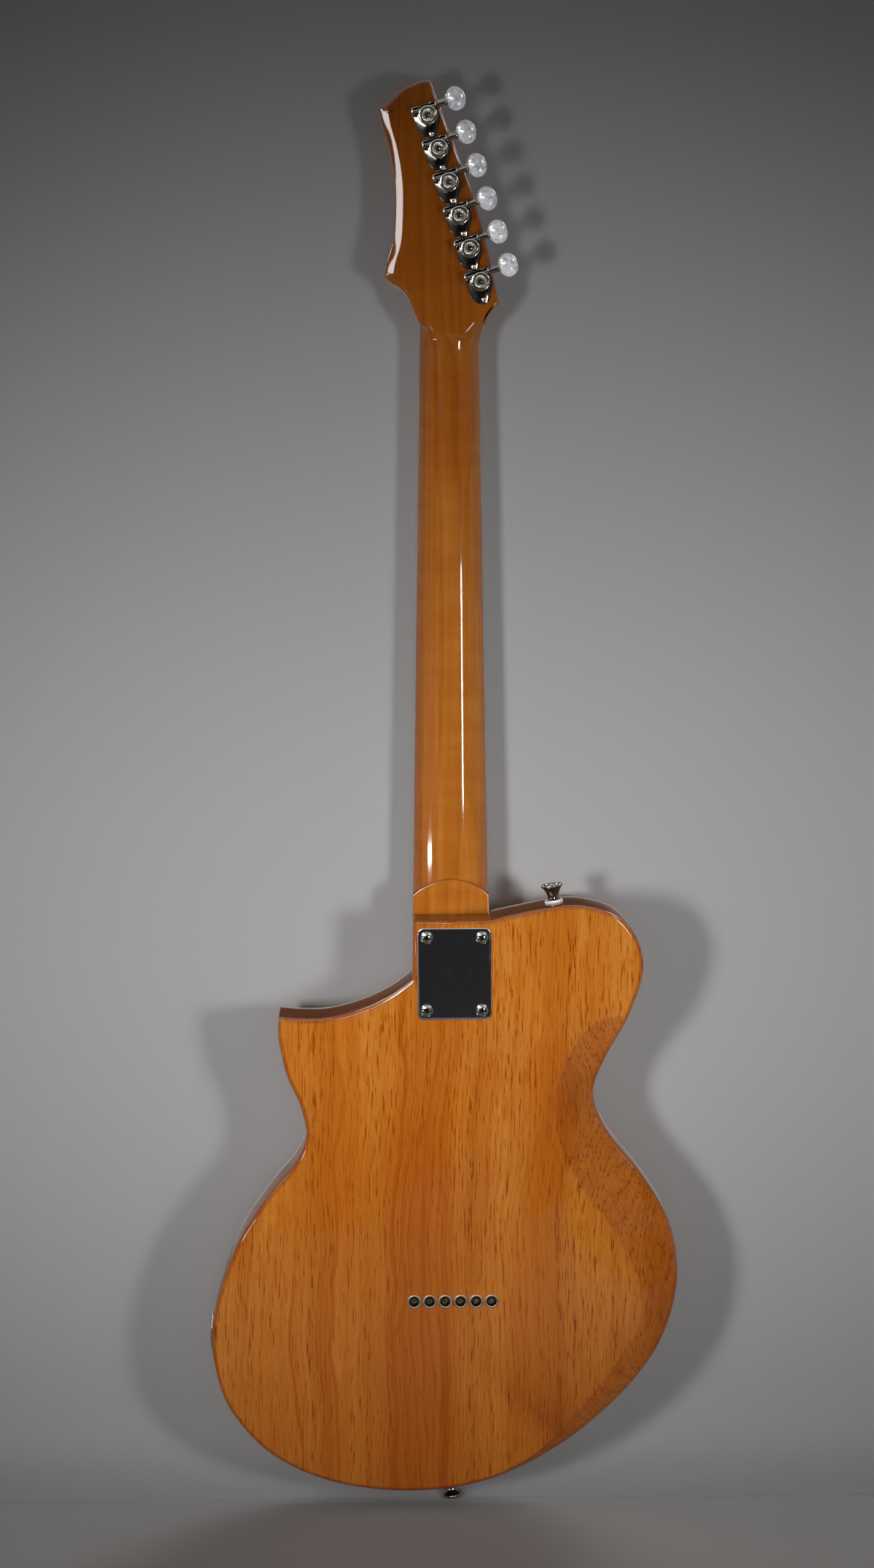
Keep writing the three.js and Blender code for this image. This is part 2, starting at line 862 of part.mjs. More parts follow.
// The flat heel: straight sides, rounded end corners, and an arc where the round of the neck stops
function heelBlock() {
  const low = -heel_end;
  const half = neckHalf(low);
  const outline = [];
  const steps = 4;
  for (let i = 0; i <= steps; i++) {
    const a = (270 + (i / steps) * 90) * deg;
    outline.push(
      new THREE.Vector2(
        half - heel_corner + heel_corner * Math.cos(a),
        low + heel_corner + heel_corner * Math.sin(a),
      ),
    );
  }
  const side = neckHalf(-heel_arc_side);
  const rise = heel_arc_side - heel_arc_top;
  for (let i = 0; i <= steps * 2; i++) {
    const t = 1 - i / steps;
    outline.push(new THREE.Vector2(side * t, -heel_arc_side + rise * (1 - t * t)));
  }
  for (let i = 0; i <= steps; i++) {
    const p = outline[steps - i];
    outline.push(new THREE.Vector2(-p.x, p.y));
  }
  return slab(outline, board_bottom_y, pocket_depth);
}

function tunerPlace(k) {
  const along = k * tuner_pitch;
  const x = tuner_first_x + along * Math.sin(tuner_row_angle);
  const z = tuner_first_z + along * Math.cos(tuner_row_angle);
  return new THREE.Vector3(x, head_back, z);
}

const rod_top_y = board_bottom_y + seat_gap;

function makeNeck() {
  const room = box(-head_width, head_width, board_bottom_y, head_back, -heel_end, head_length * 2);
  const heel = heelBlock();
  const shaft = neckShaft().intersect(room);
  const channel = box(
    -rod_width / 2 - seat_gap,
    rod_width / 2 + seat_gap,
    board_bottom_y - cut_over,
    rod_top_y + rod_depth + seat_gap,
    -rod_start - rod_length - seat_gap,
    -rod_start + seat_gap,
  );
  const cutters = [channel];
  for (const k of strings) {
    const { x, z } = tunerPlace(k);
    const bore = sleeve_radius + seat_gap * 2;
    cutters.push(boreY(x, z, bore, head_face - cut_over, head_back + cut_over, small_sides));
  }
  const tip = plateFace() - neck_screw_length;
  for (const [x, z] of screwPlaces) {
    const bore = neck_screw_radius + seat_gap;
    cutters.push(boreY(x, z, bore, tip - seat_gap, pocket_depth + cut_over, small_sides));
  }
  return cut(joined(shaft, headBlock(), heel), ...cutters);
}

function makeTrussRod() {
  const half = rod_width / 2;
  const top = rod_top_y;
  const bottom = rod_top_y + rod_depth;
  const low = -rod_start - rod_length;
  const roundAt = (z) => at(0, bottom - rod_round_radius, z);
  const mid = rod_block / 2;
  return joined(
    box(-half, half, top, top + rod_bar, low, -rod_start),
    box(-half, half, top, bottom, low, low + rod_block),
    box(-half, half, top, bottom, -rod_start - rod_block, -rod_start),
    rod(rod_round_radius, roundAt(low + mid), roundAt(-rod_start - mid), small_sides),
  );
}

// Fretboard sections hold its crown in two flats
function boardRing(z) {
  const half = neckHalf(z);
  return [
    new THREE.Vector3(-half, board_bottom_y, z),
    new THREE.Vector3(half, board_bottom_y, z),
    new THREE.Vector3(half, board_top_y + crown(half), z),
    new THREE.Vector3(0, board_top_y, z),
    new THREE.Vector3(-half, board_top_y + crown(half), z),
  ];
}

function fret(n) {
  const z = -fretAt(n);
  const half = neckHalf(z) - seat_gap;
  return skin(
    [-half, 0, half].map((x) => {
      const y = board_top_y + crown(x);
      return [
        new THREE.Vector3(x, y + fret_height, z - fret_width / 2),
        new THREE.Vector3(x, y - fret_height, z - fret_crown_width / 2),
        new THREE.Vector3(x, y - fret_height, z + fret_crown_width / 2),
        new THREE.Vector3(x, y + fret_height, z + fret_width / 2),
      ];
    }),
  );
}

function makeFretboard() {
  const board = skin([boardRing(-fretboard_length), boardRing(0)]);
  const frets = Array.from({ length: fret_count }, (_, n) => fret(n + 1));
  return joined(board, ...frets);
}

// Heights of the strings' middle lines
const nutStringY = (i) =>
  board_top_y - fret_height - string_clearance - stringRadius(i) + crown(nutX(i));
const pairX = (pair) => (pair - 1) * bridge_string_pitch * 2;
const saddleTopY = (pair) => -saddle_top + crown(pairX(pair));
const saddleMiddleY = (pair) => saddleTopY(pair) + saddle_radius;

function makeNut() {
  const half = nut_width / 2 - seat_gap;
  const top = board_top_y - nut_rise;
  const outline = [
    new THREE.Vector3(-half, board_bottom_y, 0),
    new THREE.Vector3(half, board_bottom_y, 0),
    new THREE.Vector3(half, top + crown(half) + nut_rise / 2, 0),
    new THREE.Vector3(half * nut_shoulder_share, top + crown(half), 0),
    new THREE.Vector3(0, top, 0),
    new THREE.Vector3(-half * nut_shoulder_share, top + crown(half), 0),
    new THREE.Vector3(-half, top + crown(half) + nut_rise / 2, 0),
  ];
  const far = outline.map((p) => p.clone().setZ(nut_thickness));
  const slots = strings.map((i) => {
    const reach = stringRadius(i) + seat_gap;
    const x = nutX(i);
    return box(
      x - reach,
      x + reach,
      top - cut_over,
      nutStringY(i) + reach,
      -cut_over,
      nut_thickness + cut_over,
    );
  });
  return cut(skin([outline, far]), ...slots);
}

function plateFace() {
  return body_thickness + plate_sheet;
}

function makeNeckPlate() {
  const outline = roundedRect(plate_x, -plate_z, plate_width, plate_length, plate_corner);
  const bores = screwPlaces.map(([x, z]) =>
    boreY(x, z, neck_screw_radius + seat_gap, 0, body_thickness + cut_over * 2, small_sides),
  );
  return cut(slab(outline, body_thickness, plateFace()), ...bores);
}

function neckScrew(x, z) {
  const face = plateFace();
  const tip = face - neck_screw_length;
  const [width, height] = screw_shoulder_shares;
  const profile = [
    [0, tip],
    [neck_screw_radius, tip + neck_screw_point],
    [neck_screw_radius, face],
    [neck_screw_head_radius, face],
    [neck_screw_head_radius * width, face + neck_screw_head_height * height],
    [0, face + neck_screw_head_height],
  ];
  return turned(profile, middle_sides, at(x, 0, z));
}

function ferrule(i) {
  const rim_top = body_thickness + ferrule_rim_height;
  const inner = body_thickness - ferrule_depth;
  const floor = body_thickness - ferrule_bore_depth;
  const profile = [
    [ferrule_hole_radius, inner],
    [ferrule_barrel_radius, inner],
    [ferrule_barrel_radius, body_thickness],
    [ferrule_rim_radius, body_thickness],
    [ferrule_rim_radius - ferrule_rim_height / 2, rim_top],
    [ferrule_bore_radius, rim_top],
    [ferrule_bore_radius, floor],
    [ferrule_hole_radius, floor],
  ];
  return bored(profile, middle_sides, at(bridgeX(i), 0, -ferrule_line));
}

// A round wire through a list of points, its section carried along without twist
function wire(points, radius, sides) {
  const way = points[1].clone().sub(points[0]).normalize();
  const helper = Math.abs(way.x) < Math.abs(way.y) ? X : Y;
  let across = helper.clone().cross(way).normalize();
  const rings = points.map((p, i) => {
    const before = points[Math.max(i - 1, 0)];
    const after = points[Math.min(i + 1, points.length - 1)];
    const a = i ? p.clone().sub(before).normalize() : after.clone().sub(p).normalize();
    const b = i < points.length - 1 ? after.clone().sub(p).normalize() : a;
    const along = a.clone().add(b).normalize();
    across = across.clone().addScaledVector(along, -across.dot(along)).normalize();
    const third = along.clone().cross(across);
    return Array.from({ length: sides }, (_, s) => {
      const angle = (s / sides) * 360 * deg;
      return p
        .clone()
        .addScaledVector(across, radius * Math.cos(angle))
        .addScaledVector(third, radius * Math.sin(angle));
    });
  });
  return skin(rings);
}

// The tuner at place k from the nut belongs to the string counted from the bass side
const stringOfTuner = (k) => string_count - 1 - k;

function stringLift(k) {
  return string_lift_near + ((string_lift_far - string_lift_near) * k) / (string_count - 1);
}

function stringWire(i) {
  const r = stringRadius(i);
  const x = bridgeX(i);
  const pair = 2 - Math.floor(i / 2);
  const wrap = saddle_radius + seat_gap + r;
  const middle = saddleMiddleY(pair);
  const floor = body_thickness - ferrule_bore_depth + seat_gap;
  const points = [
    at(x, floor + ball_length / 2, -ferrule_line),
    at(x, 0, -ferrule_line),
    at(x, -bridge_sheet - string_bore_radius, -ferrule_line + seat_gap),
  ];
  for (const a of [saddle_wrap, saddle_wrap / 2, 0]) {
    points.push(at(x, middle - wrap * Math.cos(a), -scale_length - wrap * Math.sin(a)));
  }
  const y = nutStringY(i);
  points.push(at(nutX(i), y, 0));
  points.push(at(nutX(i), y, nut_thickness));
  const k = stringOfTuner(i);
  const post = tunerPlace(k);
  const level = head_face - stringLift(k);
  const turn = post_waist_radius + running_gap + r;
  for (let s = 0; s <= post_wrap_steps; s++) {
    const a = s * post_wrap_step;
    points.push(at(post.x + turn * Math.cos(a), level, post.z + turn * Math.sin(a)));
  }
  const ball = boreY(x, -ferrule_line, ball_radius, floor, floor + ball_length, small_sides);
  return joined(wire(points, r, 4), ball);
}

// Tuners are drawn about their post: x along the shaft to the button, y along the row to the tip of
// the headstock, z out of the headstock's back.
const worm_offset = gear_pitch_radius + worm_pitch_radius;
const worm_level = gear_start + gear_thickness / 2;
const gear_tip_radius = gear_pitch_radius + tooth_addendum;
const gear_root_radius = gear_pitch_radius - tooth_dedendum;
const worm_tip_radius = worm_pitch_radius + tooth_addendum;
const worm_root_radius = worm_pitch_radius - tooth_dedendum;
const worm_pitch = (gear_pitch_radius * 2 * Math.PI) / gear_teeth;

function upright(outline, from, to) {
  const ring = (z) => outline.map((p) => new THREE.Vector3(p.x, p.y, z));
  return skin([ring(from), ring(to)]);
}

function pin(radius, from, to, sides = small_sides) {
  return rod(radius, at(0, 0, from), at(0, 0, to), sides);
}

function tunerHousing() {
  const edge = housing_edge_shares.map(([x, y]) => [
    x * (x < 0 ? housing_left : housing_right),
    -y * housing_tip,
  ]);
  const top = [
    [housing_right, housing_top],
    [-housing_left, housing_top],
  ];
  const outline = [...top, ...edge].map(([x, y]) => new THREE.Vector2(x, y));
  const base = seat_gap + plate_thickness;
  const cheek = (x) =>
    box(x, x + cheek_thickness, cheek_foot, housing_top, seat_gap, cheek_height);
  const back_of_face = -head_thickness - seat_gap;
  const solidPart = joined(
    upright(outline, seat_gap, base),
    cheek(cheek_inner - cheek_thickness),
    cheek(cheek_outer),
    pin(sleeve_radius, back_of_face, base),
    pin(bush_radius, back_of_face - bush_height, back_of_face, 6),
  );
  const shaft = shaft_radius + running_gap;
  return cut(
    solidPart,
    pin(post_radius + running_gap, back_of_face - bush_height - cut_over, base + cut_over),
    rod(
      shaft,
      at(cheek_inner - cut_over, worm_offset, worm_level),
      at(housing_right + cut_over, worm_offset, worm_level),
      small_sides,
    ),
  );
}

function gearOutline() {
  const tooth = [
    [gear_root_radius, -gear_root_half],
    [gear_tip_radius, -gear_tip_half],
    [gear_tip_radius, gear_tip_half],
    [gear_root_radius, gear_root_half],
  ];
  return Array.from({ length: gear_teeth }, (_, n) => {
    const turn = 90 * deg + (n / gear_teeth) * 360 * deg;
    return tooth.map(([r, half]) => {
      const a = turn + Math.atan(half / r);
      return new THREE.Vector2(r * Math.cos(a), r * Math.sin(a));
    });
  }).flat();
}

function tunerPost(k) {
  const level = -head_thickness - stringLift(k);
  const waist = post_waist_height / 2;
  const top = level - waist - post_top;
  const stub_end = lock_wheel_start + lock_wheel_thickness - seat_gap;
  const profile = [
    [0, top],
    [post_radius, top],
    [post_radius, level - waist],
    [post_waist_radius, level - waist / 3],
    [post_waist_radius, level + waist / 3],
    [post_radius, level + waist],
    [post_radius, gear_start - seat_gap],
    [post_stub_radius, gear_start + seat_gap],
    [post_stub_radius, stub_end],
    [0, stub_end],
  ];
  const spindle = turned(profile, small_sides, at(0, 0, 0), Z);
  const gear = upright(gearOutline(), gear_start, gear_start + gear_thickness);
  const end = post_radius * 2;
  const hole = rod(post_hole_radius, at(0, -end, level), at(0, end, level), small_sides);
  return cut(joined(spindle, gear), hole);
}

// One ridge wound on the shaft, with a gap of the thread facing the gear's top tooth
function wormThread() {
  const steps = thread_turns * thread_steps;
  const section = [
    [worm_root_radius - running_gap, -thread_root_half],
    [worm_root_radius - running_gap, thread_root_half],
    [worm_tip_radius, 0],
  ];
  const rings = Array.from({ length: steps + 1 }, (_, s) => {
    const turn = s / thread_steps - thread_turns / 2;
    const a = turn * 360 * deg;
    const along = turn * worm_pitch;
    return section.map(([r, x]) =>
      at(along + x, worm_offset + r * Math.cos(a), worm_level + r * Math.sin(a)),
    );
  });
  return skin(rings);
}

function tunerButton() {
  const thread_half = (thread_turns * worm_pitch) / 2 + thread_root_half * 2;
  const shaft = (radius, from, to, sides = thread_steps) =>
    rod(radius, at(from, worm_offset, worm_level), at(to, worm_offset, worm_level), sides);
  const oval = new THREE.SphereGeometry(1, middle_sides, small_sides);
  oval.scale(button_length / 2, button_width / 2, button_thickness / 2);
  oval.translate(button_reach, worm_offset, worm_level);
  const collar_end = button_reach - button_length / 2 + collar_length / 2;
  return joined(
    shaft(worm_root_radius, -thread_half - seat_gap, thread_half + seat_gap),
    shaft(shaft_radius, cheek_inner - cheek_thickness, -thread_half),
    shaft(shaft_radius, thread_half, shaft_end),
    shaft(collar_radius, collar_end - collar_length, collar_end),
    wormThread(),
    solid(oval),
  );
}

function lockWheel() {
  const steps = lock_wheel_flutes * 2;
  const outline = Array.from({ length: steps }, (_, s) => {
    const a = (s / steps) * 360 * deg;
    const r = lock_wheel_radius - (s % 2) * lock_flute_depth;
    return new THREE.Vector2(r * Math.cos(a), r * Math.sin(a));
  });
  const from = lock_wheel_start;
  const to = lock_wheel_start + lock_wheel_thickness;
  return cut(
    upright(outline, from, to),
    pin(post_stub_radius + running_gap, from - cut_over, to + cut_over),
  );
}

function addTuner(k) {
  const group = new THREE.Group();
  const number = stringOfTuner(k) + 1;
  group.position.copy(tunerPlace(k));
  group.rotation.order = "YXZ";
  group.rotation.set(-90 * deg, 180 * deg + tuner_row_angle, 0);
  parts.add(group);
  add(`tuner_housing_${number}`, tunerHousing(), finishes.nickel, group);
  add(`tuner_button_${number}`, tunerButton(), finishes.pearl, group);
  add(`tuner_post_${number}`, tunerPost(k), finishes.nickel, group);
  add(`tuner_lock_wheel_${number}`, lockWheel(), finishes.nickel, group);
}

// Bridge: a plate with three low walls, cut for the pickup and the strings
function makeBridgePlate() {
  const half = bridge_width / 2;
  const sheet = bridge_sheet;
  const top = -sheet - bridge_wall_height;
  const side = (x) => box(x, x + sheet, top, 0, -bridge_back, -bridge_front);
  const plate = joined(
    box(-half, half, -sheet, 0, -bridge_back, -bridge_front),
    side(-half),
    side(half - sheet),
    box(-half, half, top, 0, -bridge_back, -bridge_back + sheet),
  );
  const holes = strings.map((i) =>
    boreY(bridgeX(i), -ferrule_line, string_bore_radius, -sheet * 2, sheet, small_sides),
  );
  const screws = [0, 1, 2].map((pair) => {
    const screw = (z) => at(pairX(pair), saddleScrewY(), z);
    const end = -bridge_back + cut_over * 2;
    return rod(saddle_screw_radius + seat_gap, screw(-bridge_back - cut_over), screw(end));
  });
  const window = slab(bridgePickupOutline(pickup_gap), -sheet * 2, sheet);
  return cut(plate, window, ...holes, ...screws);
}

function saddleScrewY() {
  return saddleTopY(0) + saddle_radius;
}

// A barrel saddle with its two height screws and its long screw through the bridge's back wall
function saddle(pair) {
  const x = pairX(pair);
  const half = saddle_length / 2;
  const y = saddleMiddleY(pair);
  const z = -scale_length;
  const foot = -bridge_sheet - seat_gap;
  const inner = half - saddle_screw_radius * 2;
  const leg = (lx) => boreY(lx, z, saddle_screw_radius, y, foot, small_sides);
  const screw = (end) => at(x, saddleScrewY(), end);
  const seat = -bridge_back - seat_gap;
  const head = screw(seat - saddle_screw_head_height);
  return joined(
    rod(saddle_radius, at(x - half, y, z), at(x + half, y, z)),
    leg(x - inner),
    leg(x + inner),
    rod(saddle_screw_radius, screw(z), screw(seat), small_sides),
    rod(saddle_screw_head_radius, screw(seat), head, small_sides),
  );
}

function pickup(outline, rise, poles) {
  const top = -rise;
  const pins = poles.map(([x, z]) => boreY(x, z, pole_radius, top - pole_rise, 0, small_sides));
  return joined(slab(outline, top, pickup_depth), ...pins);
}

function makeBridgePickup() {
  const slope = Math.tan(bridge_pickup_angle);
  const poleX = (i) => bridgeX(i) * bridge_pole_share;
  const poles = strings.map((i) => [poleX(i), -bridge_pickup_z - poleX(i) * slope]);
  return pickup(bridgePickupOutline(0), bridge_pickup_rise, poles);
}

function makeControlPlate() {
  const plate = slab(controlOutline(0), -control_sheet, 0);
  const pots = [volume_z, tone_z].map((z) => boreY(control_x, -z, pot_radius, 0, pot_depth));
  const bore = pot_shaft_radius + running_gap;
  const bores = [volume_z, tone_z].map((z) =>
    boreY(control_x, -z, bore, -cut_over * 2, pot_depth - control_sheet),
  );
  const half = lever_thickness / 2 + running_gap;
  const length = switch_frame_length / 2;
  const wall = (x) =>
    box(x, x + switch_frame_wall, 0, switch_frame_depth, -switch_z - length, -switch_z + length);
  const pivot = (x) => at(x, lever_pivot_depth, -switch_z);
  const outer = half + switch_frame_wall;
  const travel = (lever_pivot_depth + control_sheet) * Math.tan(lever_swing);
  const reach = travel + lever_width / 2 / Math.cos(lever_swing) + running_gap * 2;
  const slot = box(
    control_x - half,
    control_x + half,
    -cut_over * 2,
    cut_over / 2,
    -switch_z - reach,
    -switch_z + reach,
  );
  return joined(
    cut(joined(plate, ...pots), ...bores, slot),
    wall(control_x - outer),
    wall(control_x + half),
    rod(lever_pin_radius, pivot(control_x - outer), pivot(control_x + outer), small_sides),
  );
}

function knob(z) {
  const low = -control_sheet - knob_gap;
  const high = low - knob_height;
  const end = pot_depth - control_sheet - seat_gap;
  const [edge, edge_height] = knob_edge_shares;
  const profile = [
    [0, high],
    [knob_radius * knob_face_share, high],
    [knob_radius * edge, low - knob_height * edge_height],
    [knob_radius, low],
    [pot_shaft_radius, low],
    [pot_shaft_radius, end],
    [0, end],
  ];
  return turned(profile, large_sides, at(control_x, 0, -z));
}

function makeSwitchLever() {
  const half = lever_thickness / 2;
  const pivot = (x) => at(x, lever_pivot_depth, -switch_z);
  const blade = box(
    control_x - half,
    control_x + half,
    -lever_reach - lever_tip_height / 2,
    lever_pivot_depth,
    -switch_z - lever_width / 2,
    -switch_z + lever_width / 2,
  );
  const hub = rod(lever_hub_radius, pivot(control_x - half), pivot(control_x + half));
  const bore = rod(
    lever_pin_radius + running_gap,
    pivot(control_x - cut_over),
    pivot(control_x + cut_over),
    small_sides,
  );
  const profile = lever_tip_shares.map(([r, h]) => [
    lever_tip_radius * r,
    -lever_reach - lever_tip_height * h,
  ]);
  const ends = [
    [0, -lever_reach],
    [0, -lever_reach - lever_tip_height],
  ];
  const tip = turned([ends[0], ...profile, ends[1]], middle_sides, at(control_x, 0, -switch_z));
  return joined(cut(joined(blade, hub), bore), tip);
}

function strapButton(place) {
  const profile = strap_profile_shares.map(([r, h]) => [
    strap_cap_radius * r,
    seat_gap + strap_height * h,
  ]);
  const closed = [[0, seat_gap], ...profile, [0, seat_gap + strap_height]];
  return turned(closed, middle_sides, place.at, place.out);
}

// The assembly
add("body", makeBody(), finishes.body);
add("body_binding", makeBinding(), finishes.binding);
add("neck", makeNeck(), finishes.neck);
add("truss_rod", makeTrussRod(), finishes.steel);
add("fretboard", makeFretboard(), finishes.board);
add("nut", makeNut(), finishes.bone);
add("neck_plate", makeNeckPlate(), finishes.chrome);
screwPlaces.forEach(([x, z], i) => add(`neck_screw_${i + 1}`, neckScrew(x, z), finishes.nickel));
add("strap_button_upper", strapButton(upper_strap), finishes.nickel);
add("strap_button_lower", strapButton(lower_strap), finishes.nickel);
add("bridge_plate", makeBridgePlate(), finishes.nickel);
for (const pair of [0, 1, 2]) add(`saddle_${pair + 1}`, saddle(pair), finishes.brass);
add("bridge_pickup", makeBridgePickup(), finishes.black);
add("neck_pickup", pickup(neckPickupOutline(0), neck_pickup_rise, []), finishes.nickel);
add("control_plate", makeControlPlate(), finishes.nickel);
add("volume_knob", knob(volume_z), finishes.nickel);
add("tone_knob", knob(tone_z), finishes.nickel);
add("switch_lever", makeSwitchLever(), finishes.black);
add("jack_cup", makeJackCup(), finishes.nickel);
for (const i of strings) {
  add(`string_ferrule_${i + 1}`, ferrule(i), finishes.nickel);
  add(`string_${i + 1}`, stringWire(i), finishes.string);
}
strings.forEach(addTuner);

export default parts;
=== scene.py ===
"""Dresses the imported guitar: an amber ash body, a roasted maple neck and nickel hardware."""

import json
from math import atan2, cos, pi, radians, sin, sqrt, tan, tau

import bmesh
import bpy
from mathutils import Matrix, Vector


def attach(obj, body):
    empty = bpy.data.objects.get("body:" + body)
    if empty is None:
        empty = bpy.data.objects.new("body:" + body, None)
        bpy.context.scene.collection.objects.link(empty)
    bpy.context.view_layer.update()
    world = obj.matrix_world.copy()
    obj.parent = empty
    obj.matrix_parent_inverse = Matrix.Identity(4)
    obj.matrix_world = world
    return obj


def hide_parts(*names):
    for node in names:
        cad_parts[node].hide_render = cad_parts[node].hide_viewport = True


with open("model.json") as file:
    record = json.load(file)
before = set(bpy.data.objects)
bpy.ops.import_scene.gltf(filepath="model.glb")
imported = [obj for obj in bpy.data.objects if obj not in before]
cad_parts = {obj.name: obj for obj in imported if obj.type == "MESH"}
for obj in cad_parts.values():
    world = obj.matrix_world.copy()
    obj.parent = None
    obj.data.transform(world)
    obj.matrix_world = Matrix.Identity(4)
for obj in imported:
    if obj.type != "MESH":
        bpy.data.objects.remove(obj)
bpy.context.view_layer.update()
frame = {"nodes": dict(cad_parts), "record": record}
mm = 0.001
X, Y, Z = Vector((1, 0, 0)), Vector((0, 1, 0)), Vector((0, 0, 1))

# Modelling


def deselect():
    bpy.ops.object.select_all(action="DESELECT")


def pick(piece):
    """Makes one piece the only selected and the active one."""
    deselect()
    piece.select_set(True)
    bpy.context.view_layer.objects.active = piece
    return piece


def in_edit_mode(piece, *steps):
    """Runs edit mode steps, each on the whole of a piece."""
    pick(piece)
    bpy.ops.object.mode_set(mode="EDIT")
    bpy.ops.mesh.select_mode(type="VERT")
    for step in steps:
        bpy.ops.mesh.select_all(action="SELECT")
        step()
    bpy.ops.object.mode_set(mode="OBJECT")
    return piece


def merge():
    bpy.ops.mesh.remove_doubles(threshold=0.002 * mm)


def outwards():
    bpy.ops.mesh.normals_make_consistent(inside=False)


def drawn_out(name, rings, closed=False):
    """A circle's vertices set on the first ring of points, in mm, then extruded to each next ring.
    Both ends are faces, or, where closed, the last ring meets the first."""
    deselect()
    fill = "NOTHING" if closed else "NGON"
    bpy.ops.mesh.primitive_circle_add(vertices=len(rings[0]), fill_type=fill)
    piece = bpy.context.object
    piece.name = piece.data.name = name
    piece.data.attributes.new("place", "INT", "POINT")
    place = piece.data.attributes["place"].data
    for i, point in enumerate(rings[0]):
        piece.data.vertices[i].co = Vector(point) * mm
        place[i].value = i
    bpy.ops.object.mode_set(mode="EDIT")
    bpy.ops.mesh.select_mode(type="VERT")
    bpy.ops.mesh.select_all(action="SELECT")
    for ring in rings[1:] + (rings[:1] if closed else []):
        bpy.ops.mesh.extrude_region_move()
        mesh = bmesh.from_edit_mesh(piece.data)
        layer = mesh.verts.layers.int["place"]
        for vertex in mesh.verts:
            if vertex.select:
                vertex.co = Vector(ring[vertex[layer]]) * mm
        bmesh.update_edit_mesh(piece.data)
    bpy.ops.object.mode_set(mode="OBJECT")
    piece.data.attributes.remove(piece.data.attributes["place"])
    return in_edit_mode(piece, merge, outwards)


def circle(radius, at, way, sides):
    """Points of a circle square to a direction."""
    helper = Y if abs(way.y) < 0.9 else X
    across = helper.cross(way).normalized()
    up = way.cross(across)
    angles = [tau * i / sides for i in range(sides)]
    return [at + across * radius * cos(a) + up * radius * sin(a) for a in angles]


def turned(name, profile, sides, at=(0, 0, 0), axis=Z, closed=False):
    """A piece turned on a lathe: its profile is a list of (radius, height)."""
    way = Vector(axis).normalized()
    rings = [circle(r, Vector(at) + way * h, way, sides) for r, h in profile]
    return drawn_out(name, rings, closed)


def rod(name, radius, start, end, sides=24):
    """A round bar between two points."""
    way = Vector(end) - Vector(start)
    return turned(name, [(radius, 0), (radius, way.length)], sides, start, way)


def tube(name, points, radius, sides=10):
    """A wire along a path, its section carried along without twist."""
    way = (points[1] - points[0]).normalized()
    helper = X if abs(way.x) < 0.9 else Y
    across = helper.cross(way).normalized()
    angles = [tau * s / sides for s in range(sides)]
    rings = []
    for i, p in enumerate(points):
        before, after = points[max(i - 1, 0)], points[min(i + 1, len(points) - 1)]
        along = (after - before).normalized()
        across = (across - along * across.dot(along)).normalized()
        third = along.cross(across)
        rings.append([p + (across * cos(a) + third * sin(a)) * radius for a in angles])
    return drawn_out(name, rings)


def inset(outline, distance):
    """Each point of a flat outline moved inwards, square to its neighbours."""
    points = [Vector(p) for p in outline]
    if not distance:
        return points
    count = len(points)
    area = sum(
        points[i - 1].x * points[i].y - points[i].x * points[i - 1].y for i in range(count)
    )
    way = 1 if area > 0 else -1
    moved = []
    for i, p in enumerate(points):
        a = (p - points[i - 1]).normalized()
        b = (points[(i + 1) % count] - p).normalized()
        middle = (a + b).normalized()
        reach = way * distance / max(middle.dot(b), 0.5)
        moved.append(p + Vector((-middle.y, middle.x)) * reach)
    return moved


def level(outline, y):
    return [Vector((x, y, z)) for x, z in outline]


def slab(name, outline, heights):
    """A flat piece from an outline in x and z: heights are (inset, y) pairs."""
    return drawn_out(name, [level(inset(outline, d), y) for d, y in heights])


def plate(name, outline, heights):
    """A flat piece from an outline in x and y: heights are (inset, z) pairs."""
    rings = [[Vector((*p, z)) for p in inset(outline, d)] for d, z in heights]
    return drawn_out(name, rings)


def bar(name, section, ends):
    """A straight piece along x from a section in y and z."""
    return drawn_out(name, [[Vector((x, y, z)) for y, z in section] for x in ends])


def fluted(name, rows, flutes, sides, ribs=0, centre=(0, 0), closed=False):
    """A turned piece with flutes about it: rows are (radius, height, flute depth, rib height)."""
    rings = []
    for radius, height, *depths in rows:
        flute, rib = (*depths, 0, 0)[:2]
        ring = []
        for i in range(sides):
            a = tau * i / sides
            r = radius - flute * 0.5 * (1 + cos(flutes * a))
            x, y = centre[0] + r * cos(a), centre[1] + r * sin(a)
            ring.append(Vector((x, y, height + rib * cos(ribs * a))))
        rings.append(ring)
    return drawn_out(name, rings, closed)


def run(points, steps):
    """A smooth curve through points, without its last point."""
    points = [Vector(p) for p in points]
    last = len(points) - 1
    found = []
    for i in range(last):
        p0, p1 = points[max(i - 1, 0)], points[i]
        p2, p3 = points[i + 1], points[min(i + 2, last)]
        v0, v1 = (p2 - p0) / 2, (p3 - p1) / 2
        cubic = (p1 - p2) * 2 + v0 + v1
        square = (p2 - p1) * 3 - v0 * 2 - v1
        for s in range(steps):
            t = s / steps
            found.append(cubic * t**3 + square * t**2 + v0 * t + p1)
    return found


def rounded_rect(cx, cz, width, length, radius, steps=6):
    points = []
    for k, (sx, sz) in enumerate(((1, 1), (-1, 1), (-1, -1), (1, -1))):
        for i in range(steps + 1):
            a = (k + i / steps) * pi / 2
            x = cx + sx * (width / 2 - radius) + radius * cos(a)
            points.append((x, cz + sz * (length / 2 - radius) + radius * sin(a)))
    return points


def modified(piece, kind, **settings):
    """Adds a modifier and applies it."""
    pick(piece)
    modifier = piece.modifiers.new(kind, kind)
    for key, value in settings.items():
        setattr(modifier, key, value)
    bpy.ops.object.modifier_apply(modifier=modifier.name)
    return piece


